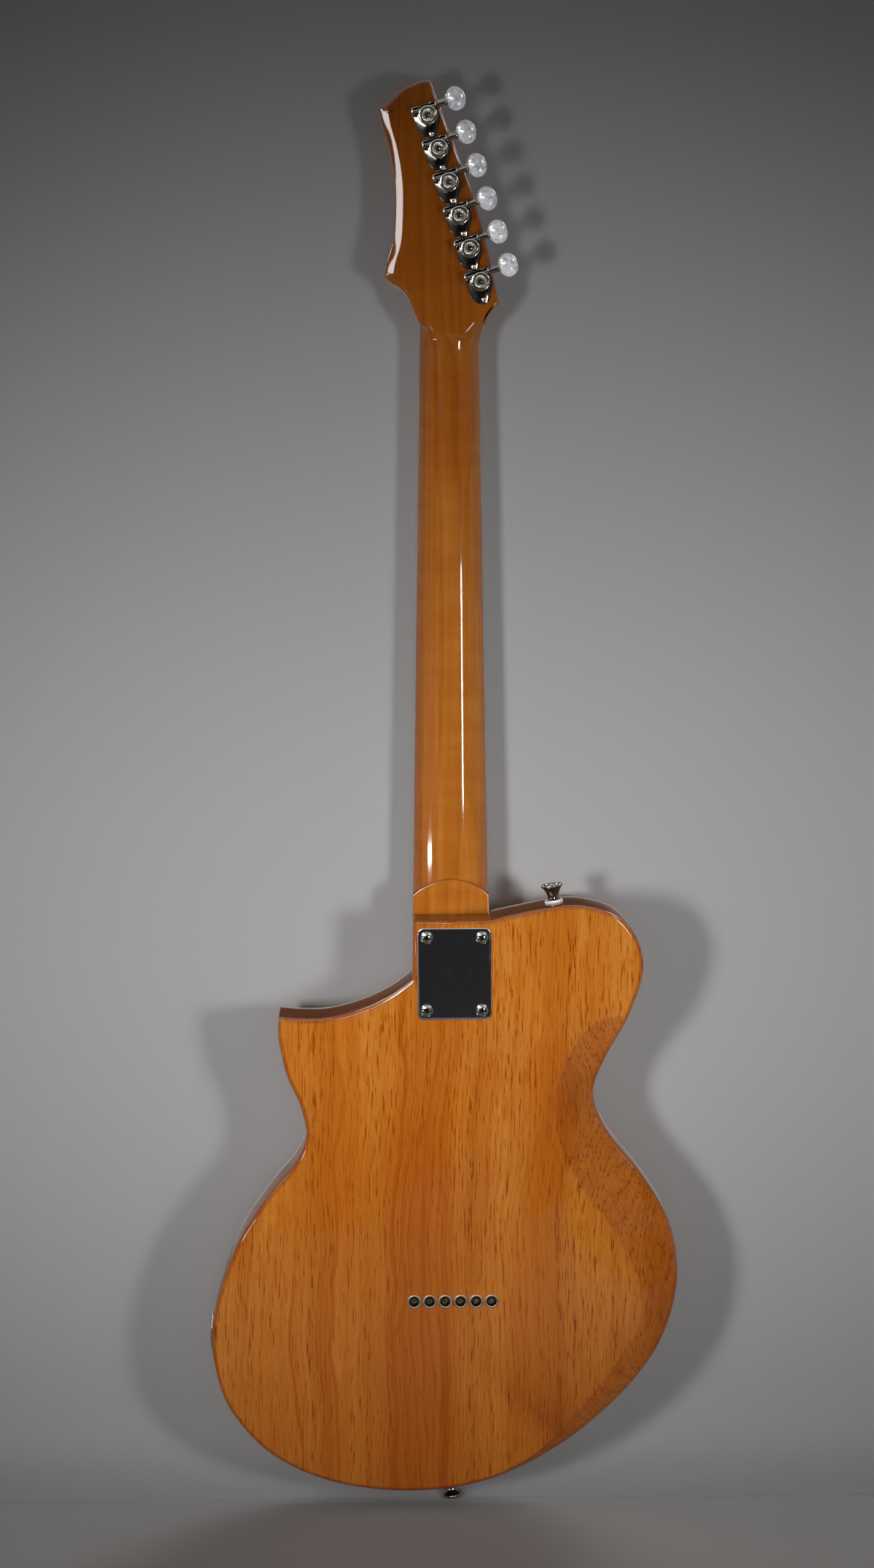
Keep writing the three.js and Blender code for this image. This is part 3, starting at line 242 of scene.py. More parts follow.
def softened(piece, width, segments=2, angle=30):
    """Bevels the sharp edges, as a file or a tumbler leaves them."""
    settings = {"limit_method": "ANGLE", "angle_limit": radians(angle), "harden_normals": False}
    return modified(piece, "BEVEL", width=width * mm, segments=segments, **settings)


def remove(*pieces):
    for piece in pieces:
        bpy.data.objects.remove(piece)


def shaped(piece, operation, *others):
    """Cuts the others out of a piece, or welds them to it."""
    for other in others:
        modified(piece, "BOOLEAN", operation=operation, object=other, solver="EXACT")
        remove(other)
    return piece


def joined(name, *pieces):
    pick(pieces[0])
    for piece in pieces:
        piece.select_set(True)
    bpy.ops.object.join()
    made = bpy.context.object
    made.name = made.data.name = name
    return made


def copied(piece, name, matrix=Matrix()):
    """A copy with a mesh of its own, put in place."""
    made = piece.copy()
    made.data = piece.data.copy()
    made.data.transform(matrix)
    made.name = made.data.name = name
    bpy.context.scene.collection.objects.link(made)
    return made


def done(piece, finish, body="guitar", replaces=(), angle=32):
    """Smooths a piece, gives it its finish, and lets it ride on its body."""
    pick(piece)
    bpy.ops.object.shade_smooth_by_angle(angle=radians(angle))
    paint, slot = finish
    if not piece.data.materials:
        piece.data.materials.append(paint)
    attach(piece, body)
    if replaces:
        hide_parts(*replaces)
    return piece


def frame_of(origin, x_axis, y_axis):
    """The matrix that puts a piece modelled about the origin in its place, given in mm."""
    x, y = Vector(x_axis).normalized(), Vector(y_axis).normalized()
    matrix = Matrix((x, y, x.cross(y))).transposed().to_4x4()
    matrix.translation = Vector(origin) * mm
    return matrix


def shifted(*way):
    return Matrix.Translation(Vector(way) * mm)


# Finishes


def linear(code):
    """An sRGB hex colour as linear red, green, blue and alpha."""
    parts = [int(code[i : i + 2], 16) / 255 for i in (1, 3, 5)]
    return *[c / 12.92 if c <= 0.04045 else ((c + 0.055) / 1.055) ** 2.4 for c in parts], 1


def add(tree, kind, inputs=(), stops=(), **settings):
    """Adds a node with its settings. An input takes a value, a socket to link to it, or a node,
    whose first output is linked. Stops are a colour ramp's."""
    made = tree.nodes.new("ShaderNode" + kind)
    for key, value in settings.items():
        setattr(made, key, value)
    for key, value in dict(inputs).items():
        if isinstance(value, bpy.types.Node):
            value = value.outputs[0]
        if isinstance(value, bpy.types.NodeSocket):
            tree.links.new(value, made.inputs[key])
        else:
            made.inputs[key].default_value = value
    if stops:
        ramp = made.color_ramp.elements
        while len(ramp) < len(stops):
            ramp.new(1)
        for element, (at, colour) in zip(ramp, stops):
            element.position, element.color = at, linear(colour)
    return made


def new_finish(name, colour, metallic=0.0, roughness=0.3, **values):
    """A material with its plain values set on the shader's own sockets."""
    paint = bpy.data.materials.new(name)
    paint.use_nodes = True
    tree = paint.node_tree
    shader = tree.nodes["Principled BSDF"]
    shader.inputs["Base Color"].default_value = linear(colour)
    shader.inputs["Metallic"].default_value = metallic
    shader.inputs["Roughness"].default_value = roughness
    for key, value in values.items():
        shader.inputs[key.replace("_", " ")].default_value = value
    return paint, tree, shader, add(tree, "TexCoord").outputs["Object"]


def wood(name, tones, heart, ring, warp, pore, flame, cut_tone, layers=0, depths=(), stains=(), **values):
    """A board sawn from a log: year rings about the log's heart, rows of pores along the grain, a flame
    across it, and a deeper tone where the surface leaves the board's flat and cuts through its layers.
    Tones run from the early wood to the late wood; each depth is painted shade, darkening the board between
    two heights where the light falls off; each stain is a darker streak along it. Lengths are in metres."""
    warp_scale, warp_stretch, warp_reach = warp
    pore_scale, pore_stretch, pore_start, pore_late, pore_shade = pore
    flame_scale, flame_strength = flame
    paint, tree, shader, place = new_finish(name, tones[1][1], **values)
    parts = add(tree, "SeparateXYZ", {0: place})
    long = add(tree, "Mapping", {"Vector": place, "Scale": (1, 1, warp_stretch)})
    drift = add(tree, "TexNoise", {"Vector": long, "Scale": warp_scale, "Detail": 3})
    drift = {0: drift.outputs["Color"], 1: (0.5, 0.5, 0.5)}
    centred = add(tree, "VectorMath", drift, operation="SUBTRACT")
    swing = add(tree, "VectorMath", {0: centred, 3: warp_reach}, operation="SCALE")
    moved = add(tree, "VectorMath", {0: place, 1: swing}, operation="ADD")
    # the year at each point, by its distance from the heart
    from_heart = add(tree, "VectorMath", {0: moved, 1: heart}, operation="SUBTRACT")
    across = add(tree, "VectorMath", {0: from_heart, 1: (1, 1, 0.02)}, operation="MULTIPLY")
    radius = add(tree, "VectorMath", {0: across}, operation="LENGTH").outputs["Value"]
    growth = {"W": radius, "Scale": 0.28 / ring, "Detail": 1}
    growth = add(tree, "TexNoise", growth, noise_dimensions="1D")
    uneven = add(tree, "MapRange", {0: growth, 1: 0, 2: 1, 3: -2.2, 4: 2.2})
    even = add(tree, "Math", {0: radius, 1: 1 / ring}, operation="MULTIPLY")
    above = add(tree, "Math", {0: parts.outputs["Y"], 1: layers}, operation="MULTIPLY")
    laid = add(tree, "Math", {0: even, 1: above}, operation="ADD")
    years = add(tree, "Math", {0: laid, 1: uneven}, operation="ADD")
    year = add(tree, "Math", {0: years}, operation="FRACT")
    toned = add(tree, "ValToRGB", {0: year}, tones)
    # pores, the most of them in the early wood
    fine = add(tree, "Mapping", {"Vector": place, "Scale": (1, 1, pore_stretch)})
    fine = add(tree, "TexNoise", {"Vector": fine, "Scale": pore_scale, "Detail": 1})
    dash = add(tree, "MapRange", {0: fine, 1: pore_start, 2: pore_start + 0.06})
    early = add(tree, "MapRange", {0: year, 1: 0.1, 2: 0.6, 3: 1, 4: pore_late})
    pores = add(tree, "Math", {0: dash, 1: early}, operation="MULTIPLY")
    amount = add(tree, "MapRange", {0: pores, 1: 0, 2: 1, 3: 1, 4: pore_shade})
    # fine streaks, broad patches, as stain takes unevenly along a board, and the flame
    low, high = 1 - flame_strength, 1 + flame_strength
    for source, stretch, size, detail, twist, span in (
        (moved, (1, 1, 0.02), 260, 3, 0, (0.3, 0.7, 0.9, 1.1)),
        (moved, (1, 1, 0.13), 38, 4, 0.4, (0.34, 0.6, 0.7, 1.1)),
        (place, (0.35, 0.35, 1), flame_scale, 1, 0, (0.35, 0.65, low, high)),
    ):
        source = add(tree, "Mapping", {"Vector": source, "Scale": stretch})
        cloud = {"Vector": source, "Scale": size, "Detail": detail, "Distortion": twist}
        cloud = add(tree, "TexNoise", cloud)
        factor = add(tree, "MapRange", {0: cloud, **dict(enumerate(span, 1))})
        amount = add(tree, "Math", {0: amount, 1: factor}, operation="MULTIPLY")
    # painted shade: each depth darkens the board by height, standing in for light that falls off
    for low, high, dark in depths:
        deeper = add(tree, "MapRange", {0: parts.outputs["Z"], 1: low, 2: high, 3: dark, 4: 1})
        amount = add(tree, "Math", {0: amount, 1: deeper}, operation="MULTIPLY")
    if stains:
        spot = add(tree, "SeparateXYZ", {0: moved})
        ripple = add(tree, "TexNoise", {"Vector": place, "Scale": 13, "Detail": 1})
        rippled = add(tree, "MapRange", {0: ripple, 1: 0, 2: 1, 3: -0.009, 4: 0.009})
        wavering = add(tree, "Math", {0: spot.outputs["X"], 1: rippled}, operation="ADD")
    for middle, near, far, high, low, dark in stains:
        # it fades from near to far of its middle, and grows stronger down the board
        aside = add(tree, "Math", {0: wavering, 1: middle}, operation="SUBTRACT")
        aside = add(tree, "Math", {0: aside}, operation="ABSOLUTE")
        within = {0: aside, 1: near, 2: far, 3: dark, 4: 0}
        within = add(tree, "MapRange", within, interpolation_type="SMOOTHSTEP")
        down = add(tree, "MapRange", {0: spot.outputs["Z"], 1: high, 2: low, 3: 0.25, 4: 1})
        both = add(tree, "Math", {0: within, 1: down}, operation="MULTIPLY")
        left = add(tree, "Math", {0: 1, 1: both}, operation="SUBTRACT")
        amount = add(tree, "Math", {0: amount, 1: left}, operation="MULTIPLY")
    # a power and not a product, so that the darker wood is also redder
    power = add(tree, "MapRange", {0: amount, 1: 0, 2: 2, 3: 1.45, 4: 0.55}, clamp=False)
    colour = add(tree, "VectorMath", {0: toned, 1: power}, operation="POWER")
    normal = add(tree, "SeparateXYZ", {0: add(tree, "NewGeometry").outputs["Normal"]})
    flatness = add(tree, "Math", {0: normal.outputs["Y"]}, operation="ABSOLUTE")
    through = add(tree, "MapRange", {0: flatness, 1: 0.998, 2: 0.982})
    deep = add(tree, "VectorMath", {0: colour, 1: linear(cut_tone)[:3]}, operation="MULTIPLY")
    cut = add(tree, "Mix", {0: through, 6: colour, 7: deep}, data_type="RGBA")
    tree.links.new(cut.outputs[2], shader.inputs["Base Color"])
    return paint


def metal(name, colour, roughness, smear):
    """Polished metal: hand marks and fine polishing lines change only how sharp its mirror is."""
    paint, tree, shader, place = new_finish(name, colour, 1.0, roughness)
    haze = add(tree, "TexNoise", {"Vector": place, "Scale": 180, "Detail": 3})
    dull = {0: haze, 1: 0.35, 2: 0.7, 3: roughness, 4: roughness + smear}
    tree.links.new(add(tree, "MapRange", dull).outputs[0], shader.inputs["Roughness"])
    return paint


def clouded(name, tones, scale, roughness, detail=4, twist=0, **values):
    """A plastic, bone or felt surface with a cloud of other tones in it."""
    paint, tree, shader, place = new_finish(name, tones[0][1], 0.0, roughness, **values)
    cloud = {"Vector": place, "Scale": scale, "Detail": detail, "Distortion": twist}
    mixed = add(tree, "ValToRGB", {0: add(tree, "TexNoise", cloud)}, tones)
    tree.links.new(mixed.outputs[0], shader.inputs["Base Color"])
    return paint


def wound_finish():
    """Nickel wrap wire on a steel core: fine rings along the string, drawn 1 mm apart because
    the real 0.3 mm ones are too fine to show."""
    paint, tree, shader, place = new_finish("nickel_wrap_wire", "#b3afa6", 1.0, 0.3)
    wave = add(tree, "TexWave", {"Vector": place, "Scale": 320}, bands_direction="Z")
    bump = {"Height": wave.outputs["Fac"], "Strength": 0.6, "Distance": 0.0003}
    tree.links.new(add(tree, "Bump", bump).outputs[0], shader.inputs["Normal"])
    return paint


lacquer = {"roughness": 0.5, "Specular_IOR_Level": 0.0, "Coat_Weight": 1.0}
# Swamp ash, stained amber under thick polished polyester: year bands some 4 mm deep with dark
# open pores; the pores are drawn twice as coarse as the real 0.3 mm so that they show.
ash = wood(
    "amber_ash_gloss_polyester",
    [(0, "#985a1c"), (0.15, "#a2621f"), (0.6, "#a96723"), (1, "#a36221")],
    heart=(0.5, -0.22, -0.6),
    ring=0.0036,
    warp=(9, 0.5, 0.036),
    pore=(1400, 0.055, 0.587, 0.42, -0.35),
    flame=(60, 0.03),
    cut_tone="#e0cfca",
    layers=190,
    # painted shade: the lower body is darker towards the floor, where the light falls off
    depths=[(-0.8, -0.52, 0.76)],
    stains=[
        (0.018, 0.012, 0.034, -0.4, -0.55, 0.5),
        (0.036, 0.0002, 0.0026, -0.38, -0.52, 0.75),
        (0.029, 0.0002, 0.0016, -0.5, -0.6, 0.5),
        (0.003, 0.0004, 0.005, -0.64, -0.74, 1.1),
        (0.016, 0.0003, 0.0018, -0.42, -0.5, 0.6),
        (0.079, 0.0002, 0.0022, -0.44, -0.62, 0.65),
        (0.086, 0.001, 0.012, -0.5, -0.7, 0.45),
        (0.108, 0.0002, 0.0018, -0.56, -0.7, 0.6),
    ],
    Coat_Roughness=0.03,
    **lacquer,
)
# Roasted maple: brown, fine-grained, with a faint flame across; gloss lacquer.
maple = wood(
    "roasted_maple_lacquer",
    [(0, "#8b4f15"), (0.3, "#935418"), (0.7, "#99591b"), (1, "#925317")],
    heart=(-0.05, 0.16, 0),
    ring=0.0037,
    warp=(9, 0.3, 0.014),
    pore=(1500, 0.06, 0.6, 0.6, 0.86),
    flame=(110, 0.07),
    cut_tone="#ffffff",
    # painted shade: the headstock is darker, where the light falls off
    depths=[(0.05, -0.02, 0.74)],
    Coat_Roughness=0.05,
    **lacquer,
)
# The same maple as a thin board under a satin finish: paler, with no mirror on it.
board_maple = wood(
    "roasted_maple_satin",
    [(0, "#7f4a20"), (0.2, "#8d5527"), (0.6, "#96602d"), (1, "#8b5728")],
    heart=(-0.04, -0.2, 0),
    ring=0.0029,
    warp=(14, 0.1, 0.005),
    pore=(1500, 0.06, 0.58, 0.6, 0.8),
    flame=(95, 0.07),
    cut_tone="#ffffff",
    roughness=0.4,
)
# Celluloid binding strip: cream, slightly yellowed, polished with the lacquer.
cream = clouded(
    "cream_celluloid", [(0.35, "#e9dfc2"), (0.65, "#ddd0ae")], 90, 0.3, Coat_Weight=0.6
)
# Bleached bone, polished: a dry shine with a fine milky cloud.
bone = clouded("polished_bone", [(0.35, "#e8e0cb"), (0.65, "#d8cdb2")], 160, 0.35)
# White wool felt under the strap button: no shine, a rough nap.
felt = clouded("white_felt", [(0.35, "#e6e4de"), (0.65, "#c9c6bf")], 900, 0.95)
# ABS, injection moulded, polished black.
black = clouded("black_abs", [(0.35, "#151517"), (0.65, "#1b1b1e")], 400, 0.25)
# Pearloid: chips of pearly acetate, each turned its own way, under a hard gloss.
pearl = clouded(
    "pearloid_acetate",
    [(0.3, "#b9bdca"), (0.45, "#e2e5ee"), (0.52, "#ffffff"), (0.72, "#cdd0dc")],
    150,
    0.25,
    detail=1.5,
    twist=2.2,
    Coat_Weight=1.0,
    Coat_Roughness=0.04,
)
# Chrome plate over polished brass: a black mirror where the room is dark.
chrome = metal("chrome_plate", "#dcdddf", 0.05, 0.05)
# Nickel plate, polished: warmer than chrome, with a slight haze of wear.
nickel = metal("nickel_plate", "#cfcabf", 0.06, 0.06)
# Turned heads and the thumb wheels, lighter than their housings: fine turning lines spread glints.
turned_nickel = metal("turned_nickel", "#a9a59b", 0.1, 0.08), "nickel"
# The shafts and strap buttons: a darker nickel than the plain plate.
darkened_nickel = metal("darkened_nickel", "#8b877f", 0.05, 0.06), "nickel"
# The housings: nickel over a cast base, painted darker still as painted shade, so that only their rims
# catch the light.
shade_darkened_nickel = metal("nickel_plate_painted_darker", "#67635c", 0.07, 0.06), "nickel"
# Nickel gone dull where it sits in the wood: it no longer mirrors, it only glows grey.
dull_nickel = metal("dull_nickel", "#a39e93", 0.4, 0.12), "nickel"
# The bores of the ferrules and the ground of a screw's cross, painted nearly black: painted shade for the
# shadow deep in them.
painted_shade_nickel = metal("shade_painted_nickel", "#2b2926", 0.5, 0.1), "nickel"
# Drawn steel wire and small turned steel parts, unplated: a soft grey sheen.
steel = metal("plain_steel_wire", "#b4b1aa", 0.25, 0.12)
# Brass as it comes from the lathe, waxed by hands and no longer bright.
brass = metal("turned_brass", "#c29b54", 0.18, 0.14)
wound = wound_finish()

finish_of = {
    "body_wood": ash,
    "neck_wood": maple,
    "board_wood": board_maple,
    "binding": cream,
    "bone": bone,
    "chrome": chrome,
    "nickel": nickel,
    "rod_steel": steel,
    "brass": brass,
    "string_steel": steel,
    "pearl": pearl,
    "black_plastic": black,
}


def made_of(slot):
    return finish_of[slot], slot


# Every CAD node gets its slot's finish; all but the truss rod are replaced further on.
for row in frame["record"]["subparts"]:
    node = frame["nodes"][row["node"]]
    node.data.materials.clear()
    node.data.materials.append(finish_of[row["material_slot"]])

# Sizes, in mm, as the CAD has them

body_width, body_length = 325.4, 416
body_back, body_top = 44, -386.2
mouth, shoulder = -394, -396.5
cheek_z = -438
binding_wide, binding_high = 1.6, 6.0
heel_end, heel_top = -470, -383
pocket_floor, pocket_gap = 16, 0.3
board_bottom, board_face, crown_radius = -3.4, -9.4, 305
scale = 648
neck_back, neck_back_end = 11.6, 13.8
head_face, head_back = 0.6, 14.6
head_width, head_length, head_flare = 80.8, 174, 3.7
plate_x, plate_z, plate_wide, plate_long = -1.5, -433.8, 51, 64
hole_x, hole_z = 19.05, 25.4
ferrule_z, ferrule_bore, jack_bore = -665.5, 4, 10.6
string_x = [(2.5 - i) * 10.8 for i in range(6)]
nut_x = [(2.5 - i) * 7 for i in range(6)]
string_gauges = [0.25, 0.33, 0.43, 0.66, 0.91, 1.17]
saddle_x = [-21.6, 0, 21.6]
saddle_radius = 3.95
pickup_centre, pickup_lean = (0, -620), radians(13)
control_x, switch_y = 76, -596
jack_at, jack_out = Vector((168.41, 22, -690.38)), Vector((1, 0, 0.0085)).normalized()


def neck_half(z):
    """Half the neck's width, which grows from the nut, at 0, towards the body."""
    return (41.3 - 0.03 * z) / 2


def crown(x):
    """How far the crowned face of the board falls at a distance from its middle line."""
    return crown_radius - sqrt(crown_radius**2 - x**2)


def clamped(share):
    return min(max(share, 0), 1)


def body_points(shares):
    """Points in x and z from shares of the body's width and length."""
    return [Vector((x * body_width, body_top - z * body_length)) for x, z in shares]


treble_rim = [
    (0.368, 0.186), (0.369, 0.226), (0.352, 0.285), (0.324, 0.336), (0.312, 0.386),
    (0.335, 0.434), (0.389, 0.485), (0.452, 0.558), (0.492, 0.634), (0.516, 0.709),
    (0.511, 0.783), (0.477, 0.859), (0.39, 0.935), (0.26, 0.983), (0.098, 1),
]
bass_rim = [
    (-0.06, 0.986), (-0.203, 0.94), (-0.322, 0.872), (-0.418, 0.79), (-0.467, 0.714),
    (-0.486, 0.627), (-0.464, 0.539), (-0.406, 0.463), (-0.34, 0.398), (-0.308, 0.345),
    (-0.306, 0.307), (-0.33, 0.258), (-0.372, 0.192), (-0.404, 0.12), (-0.398, 0.069),
    (-0.362, 0.026), (-0.305, 0.006), (-0.235, 0.0015), (-0.129, 0.0165),
]
horn = [(0.123, 0.147), (0.172, 0.167), (0.22, 0.18), (0.269, 0.188), (0.317, 0.189)]
# inner edge of the belly contour beside each point of the bass rim, and its depth there
carve = [
    (-0.055, 0.982, 0.04), (-0.166, 0.933, 0.35), (-0.272, 0.857, 0.52), (-0.353, 0.776, 0.61),
    (-0.398, 0.716, 0.68), (-0.4, 0.646, 0.79), (-0.345, 0.56, 0.9), (-0.27, 0.475, 0.96),
    (-0.228, 0.405, 1), (-0.218, 0.35, 1), (-0.232, 0.285, 0.9), (-0.28, 0.212, 0.62),
    (-0.362, 0.17, 0.06),
]
carve_depth, carve_fade, carve_bow = 14, 12, 0.32
edge_round = 3
rim_steps = 6
heel_bass = Vector((-neck_half(shoulder) - pocket_gap, shoulder))
heel_treble = Vector((neck_half(shoulder) + pocket_gap, shoulder))
cheek = Vector((neck_half(cheek_z) + pocket_gap, cheek_z))

# Body


def rim_outline():
    """The rim from the heel's treble corner round the bottom to its bass corner, with, for each
    point, where the belly contour starts and how deep it is at the rim."""
    knots = body_points(treble_rim + bass_rim) + [heel_bass]
    near = run([cheek] + body_points(horn) + knots[:1], rim_steps)
    far = run(knots, rim_steps)
    first = far[len(treble_rim) * rim_steps]
    # points close to the horn's sharp tip go, so that the rounded edge doesn't cross itself
    clear = edge_round * 1.3
    near = [p for p in near if (p - knots[0]).length > clear]
    far = far[:1] + [p for p in far[1:] if (p - knots[0]).length > clear]
    points = [heel_treble] + near + far + [heel_bass]
    knots = [Vector((*p, c[2])) for p, c in zip(body_points(c[:2] for c in carve), carve)]
    start = min(range(len(points)), key=lambda i: (points[i] - first).length)
    shares = [0.0] * len(points)
    inners = list(points)
    for i, place in enumerate(run(knots, rim_steps)):
        shares[start + i] = place.z
        inners[start + i] = place.xy
    return points, inners, shares


def body_rings():
    points, inners, shares = rim_outline()
    edge = inset(points, edge_round)
    reach = []
    for p, e, inner in zip(points, edge, inners):
        # where the contour starts, a narrow strip of it gives way to the rounded edge
        share = clamped(((inner - p).length - 2 * edge_round) / carve_fade)
        reach.append(e.lerp(inner, share))
    widths = [(a - p).length for a, p in zip(reach, points)]

    def surface(i, share):
        """Height of the back at a share of the way from the contour's start to the rim."""
        bowed = (1 - carve_bow) * share + carve_bow * share * share
        return body_back - carve_depth * shares[i] * bowed

    front = inset(points, binding_wide)
    rings = [level(front, 0), level(front, binding_high), level(points, binding_high)]
    segments = 6
    for k in range(segments + 1):
        angle = pi / 2 * k / segments
        distance, drop = edge_round * (1 - cos(angle)), edge_round * (1 - sin(angle))
        ring = []
        for i, p in enumerate(inset(points, distance)):
            share = 1 - distance / max(widths[i], distance + 0.01)
            ring.append(Vector((p.x, surface(i, share) - drop, p.y)))
        rings.append(ring)
    steps = 9
    for k in range(1, steps + 1):
        share = k / steps
        ring = []
        for i, (a, b) in enumerate(zip(edge, reach)):
            p = a.lerp(b, share)
            far = (p - points[i]).length / widths[i] if widths[i] > edge_round * 1.2 else 1
            ring.append(Vector((p.x, surface(i, max(1 - far, 0)), p.y)))
        rings.append(ring)
    return rings


def make_body():
    body = drawn_out("ash_body", body_rings())
    half_end = neck_half(heel_end) + pocket_gap
    half_top = neck_half(mouth - 0.5) + pocket_gap
    end = heel_end - pocket_gap
    bay = [(half_end, end), (half_top, mouth), (-half_top, mouth), (-half_end, end)]
    side = [(0, cheek_z), (half_end + 2, cheek_z), (half_end + 2, mouth), (0, mouth)]
    deep = [(0, -2), (0, pocket_floor + 0.2)]
    cutters = [slab("pocket", bay, deep), slab("pocket_side", side, deep)]
    for x in string_x:
        cutters.append(rod("bore", ferrule_bore, (x, 34, ferrule_z), (x, 46, ferrule_z)))
    cutters.append(rod("bore", jack_bore, jack_at - jack_out * 30, jack_at + jack_out * 4, 48))
    well = rounded_rect(control_x, switch_y, 9, 26, 2)
    cutters.append(slab("well", well, [(0, -2), (0, 14)]))
    shaped(body, "DIFFERENCE", *cutters)
    return done(body, made_of("body_wood"), replaces=["body"], angle=28)


def make_binding():
    points, _, _ = rim_outline()
    inner, edge = inset(points, binding_wide), inset(points, binding_wide / 2)
    rings = []
    for p, q, e in zip(points, inner, edge):
        section = [(p, binding_high), (p, 0.8), (p.lerp(e, 0.4), 0.25), (e, 0), (q, 0), (q, binding_high)]
        rings.append([Vector((a.x, y, a.y)) for a, y in section])
    strip = drawn_out("binding_strip", rings[2:-1])
    return done(strip, made_of("binding"), replaces=["body_binding"])


make_body()
make_binding()

# Neck


def neck_ring(z, half, top, back, sides=36):
    """A section of the neck; towards the headstock its bass side widens in a long curve."""
    power, start, length = 2 / 2.3, -8, 18
    widening = min(head_flare * (max(z - start, 0) / length) ** 1.6, 5.6)
    flare = max(half, neck_half(0) + widening if z > start else 0)
    ring = []
    for i in range(sides + 1):
        a = pi * i / sides
        x = abs(cos(a)) ** power * (half if cos(a) > 0 else -flare)
        y = top + (back - top) * abs(sin(a)) ** power if 0 < i < sides else top
        ring.append(Vector((x, min(y, head_back - 0.05), z)))
    return ring


def make_neck():
    slope = (neck_back_end - neck_back) / -heel_top
    rings = []
    for z in [heel_top - 0.3, -340, -280, -220, -160, -100, -60, -30]:
        rings.append(neck_ring(z, neck_half(z), board_bottom, neck_back - slope * z))
    # towards the headstock: z, share of the front's, of the sides' and of the back's step
    swell = [
        (-15, 0, 0, slope * 5), (0, 0, 0, 0.5), (4.94, 0, 0, 1.5),
        (12.48, 0.67, 0, 2.6), (15.08, 1, 0.5, 3.4), (26, 1, 1, 5),
    ]
    step = head_back - neck_back
    drop = head_face + 0.3 - board_bottom
    rows = run([Vector(row) for row in swell], 8) + [Vector(swell[-1])]
    for z, front, side, back in rows:
        half = neck_half(min(z, 0)) + max(side, 0) * step
        rings.append(neck_ring(z, half, board_bottom + max(front, 0) * drop, neck_back + back * step))
    return drawn_out("maple_neck", rings)


def head_outline():
    """The headstock's edge from its bass side at the nut, round its tip, to its treble side."""

    def points(shares):
        return [Vector((x * head_width, z * head_length)) for x, z in shares]

    start, end = Vector((-neck_half(0) - head_flare, 10)), Vector((neck_half(0), 10))
    bass = [(-0.328, 0.092), (-0.376, 0.12), (-0.415, 0.14)]
    edge = [(-0.415, 0.14), (-0.293, 0.395), (-0.178, 0.582), (-0.061, 0.726), (0.156, 0.994)]
    tip = [(0.156, 0.994), (0.2, 1), (0.319, 0.983), (0.415, 0.959), (0.51, 0.925), (0.585, 0.887)]
    treble = [
        (0.585, 0.887), (0.558, 0.819), (0.511, 0.745), (0.478, 0.67), (0.459, 0.589),
        (0.459, 0.495), (0.474, 0.383), (0.522, 0.307), (0.546, 0.251),
    ]
    wing = [(0.546, 0.251), (0.516, 0.226), (0.42, 0.2), (0.353, 0.163), (0.3, 0.105)]
    return [
        *run([start, *points(bass)], 4), *run(points(edge), 5), *run(points(tip), 4),
        *run(points(treble), 5), *run([*points(wing), end], 4), end,
    ]


def edge_rings(outline, front, back, face_round, back_round, back_roll):
    """Rings of a flat piece whose edges are rounded over, the back one as a wide soft roll."""
    rings = []
    for k in range(4):
        a = pi / 2 * k / 3
        edge = inset(outline, face_round * (1 - sin(a)))
        rings.append(level(edge, front + face_round * (1 - cos(a))))
    for k in range(11):
        a = pi / 2 * k / 10
        wide = inset(outline, back_roll * (1 - cos(a)))
        tight = inset(outline, back_round * (1 - cos(a)))
        ring = []
        for p, w, t in zip(outline, wide, tight):
            # the tuners' side keeps a tighter edge than the free one
            aside, above = clamped((p.x + 22 - 0.32 * p.y) / 14), clamped((p.y - 24) / 22)
            ring.append(t.lerp(w, aside * above))
        rings.append(level(ring, back - back_round * (1 - sin(a))))
    return rings


def heel_outline():
    """The heel's edge: two round corners, and an arc that runs up under the neck."""
    half = neck_half(heel_end)
    corner, steps = 5, 6
    low = [
        Vector((half - corner + corner * cos(a), heel_end + corner + corner * sin(a)))
        for a in [radians(270 + 90 * i / steps) for i in range(steps + 1)]
    ]
    side, rise = neck_half(heel_top), 11
    arc = [Vector((side * t, heel_top + rise * (1 - t * t))) for t in [1 - i / 10 for i in range(21)]]
    return low + arc + [Vector((-p.x, p.y)) for p in reversed(low)]


def finish_neck():
    neck = make_neck()
    head = drawn_out("head", edge_rings(head_outline(), head_face, head_back, 1.2, 2.2, 7.5))
    heights = [(0, board_bottom), (0, 15.2), (0.25, 15.8), (0.8, pocket_floor), (1.2, pocket_floor)]
    heel = slab("heel", heel_outline(), heights)
    shaped(neck, "UNION", head, heel)
    return done(neck, made_of("neck_wood"), replaces=["neck"], angle=30)


finish_neck()

# Neck plate, screws, ferrules


def phillips_screw(name, radius, height, reach=3.0):
    """An oval-head screw with a cross recess, its head up the z axis from z = 0."""
    profile = [(radius * 0.45, -reach), (radius * 0.45, 0), (radius * 0.97, 0), (radius, height * 0.12)]
    for k in range(1, 8):
        a = radians(12 + 76 * k / 7)
        profile.append((radius * cos(a), height * (0.12 + 0.88 * sin(a))))
    head = turned(name, profile, 28)
    arm, width, deep = radius * 0.58, radius * 0.18, height * 1.15
    for turn in (0, pi / 2):
        wing = [(arm, -width), (arm, width), (-arm, width), (-arm, -width)]
        top = [Vector((x * 1.15, y, height * 1.3)) for x, y in wing]
        low = [Vector((x * 0.45, y * 0.8, height * 1.25 - deep)) for x, y in wing]
        blade = drawn_out("blade", [low, top])
        blade.data.transform(Matrix.Rotation(turn + 0.4, 4, "Z"))
        shaped(head, "DIFFERENCE", blade)
    return head


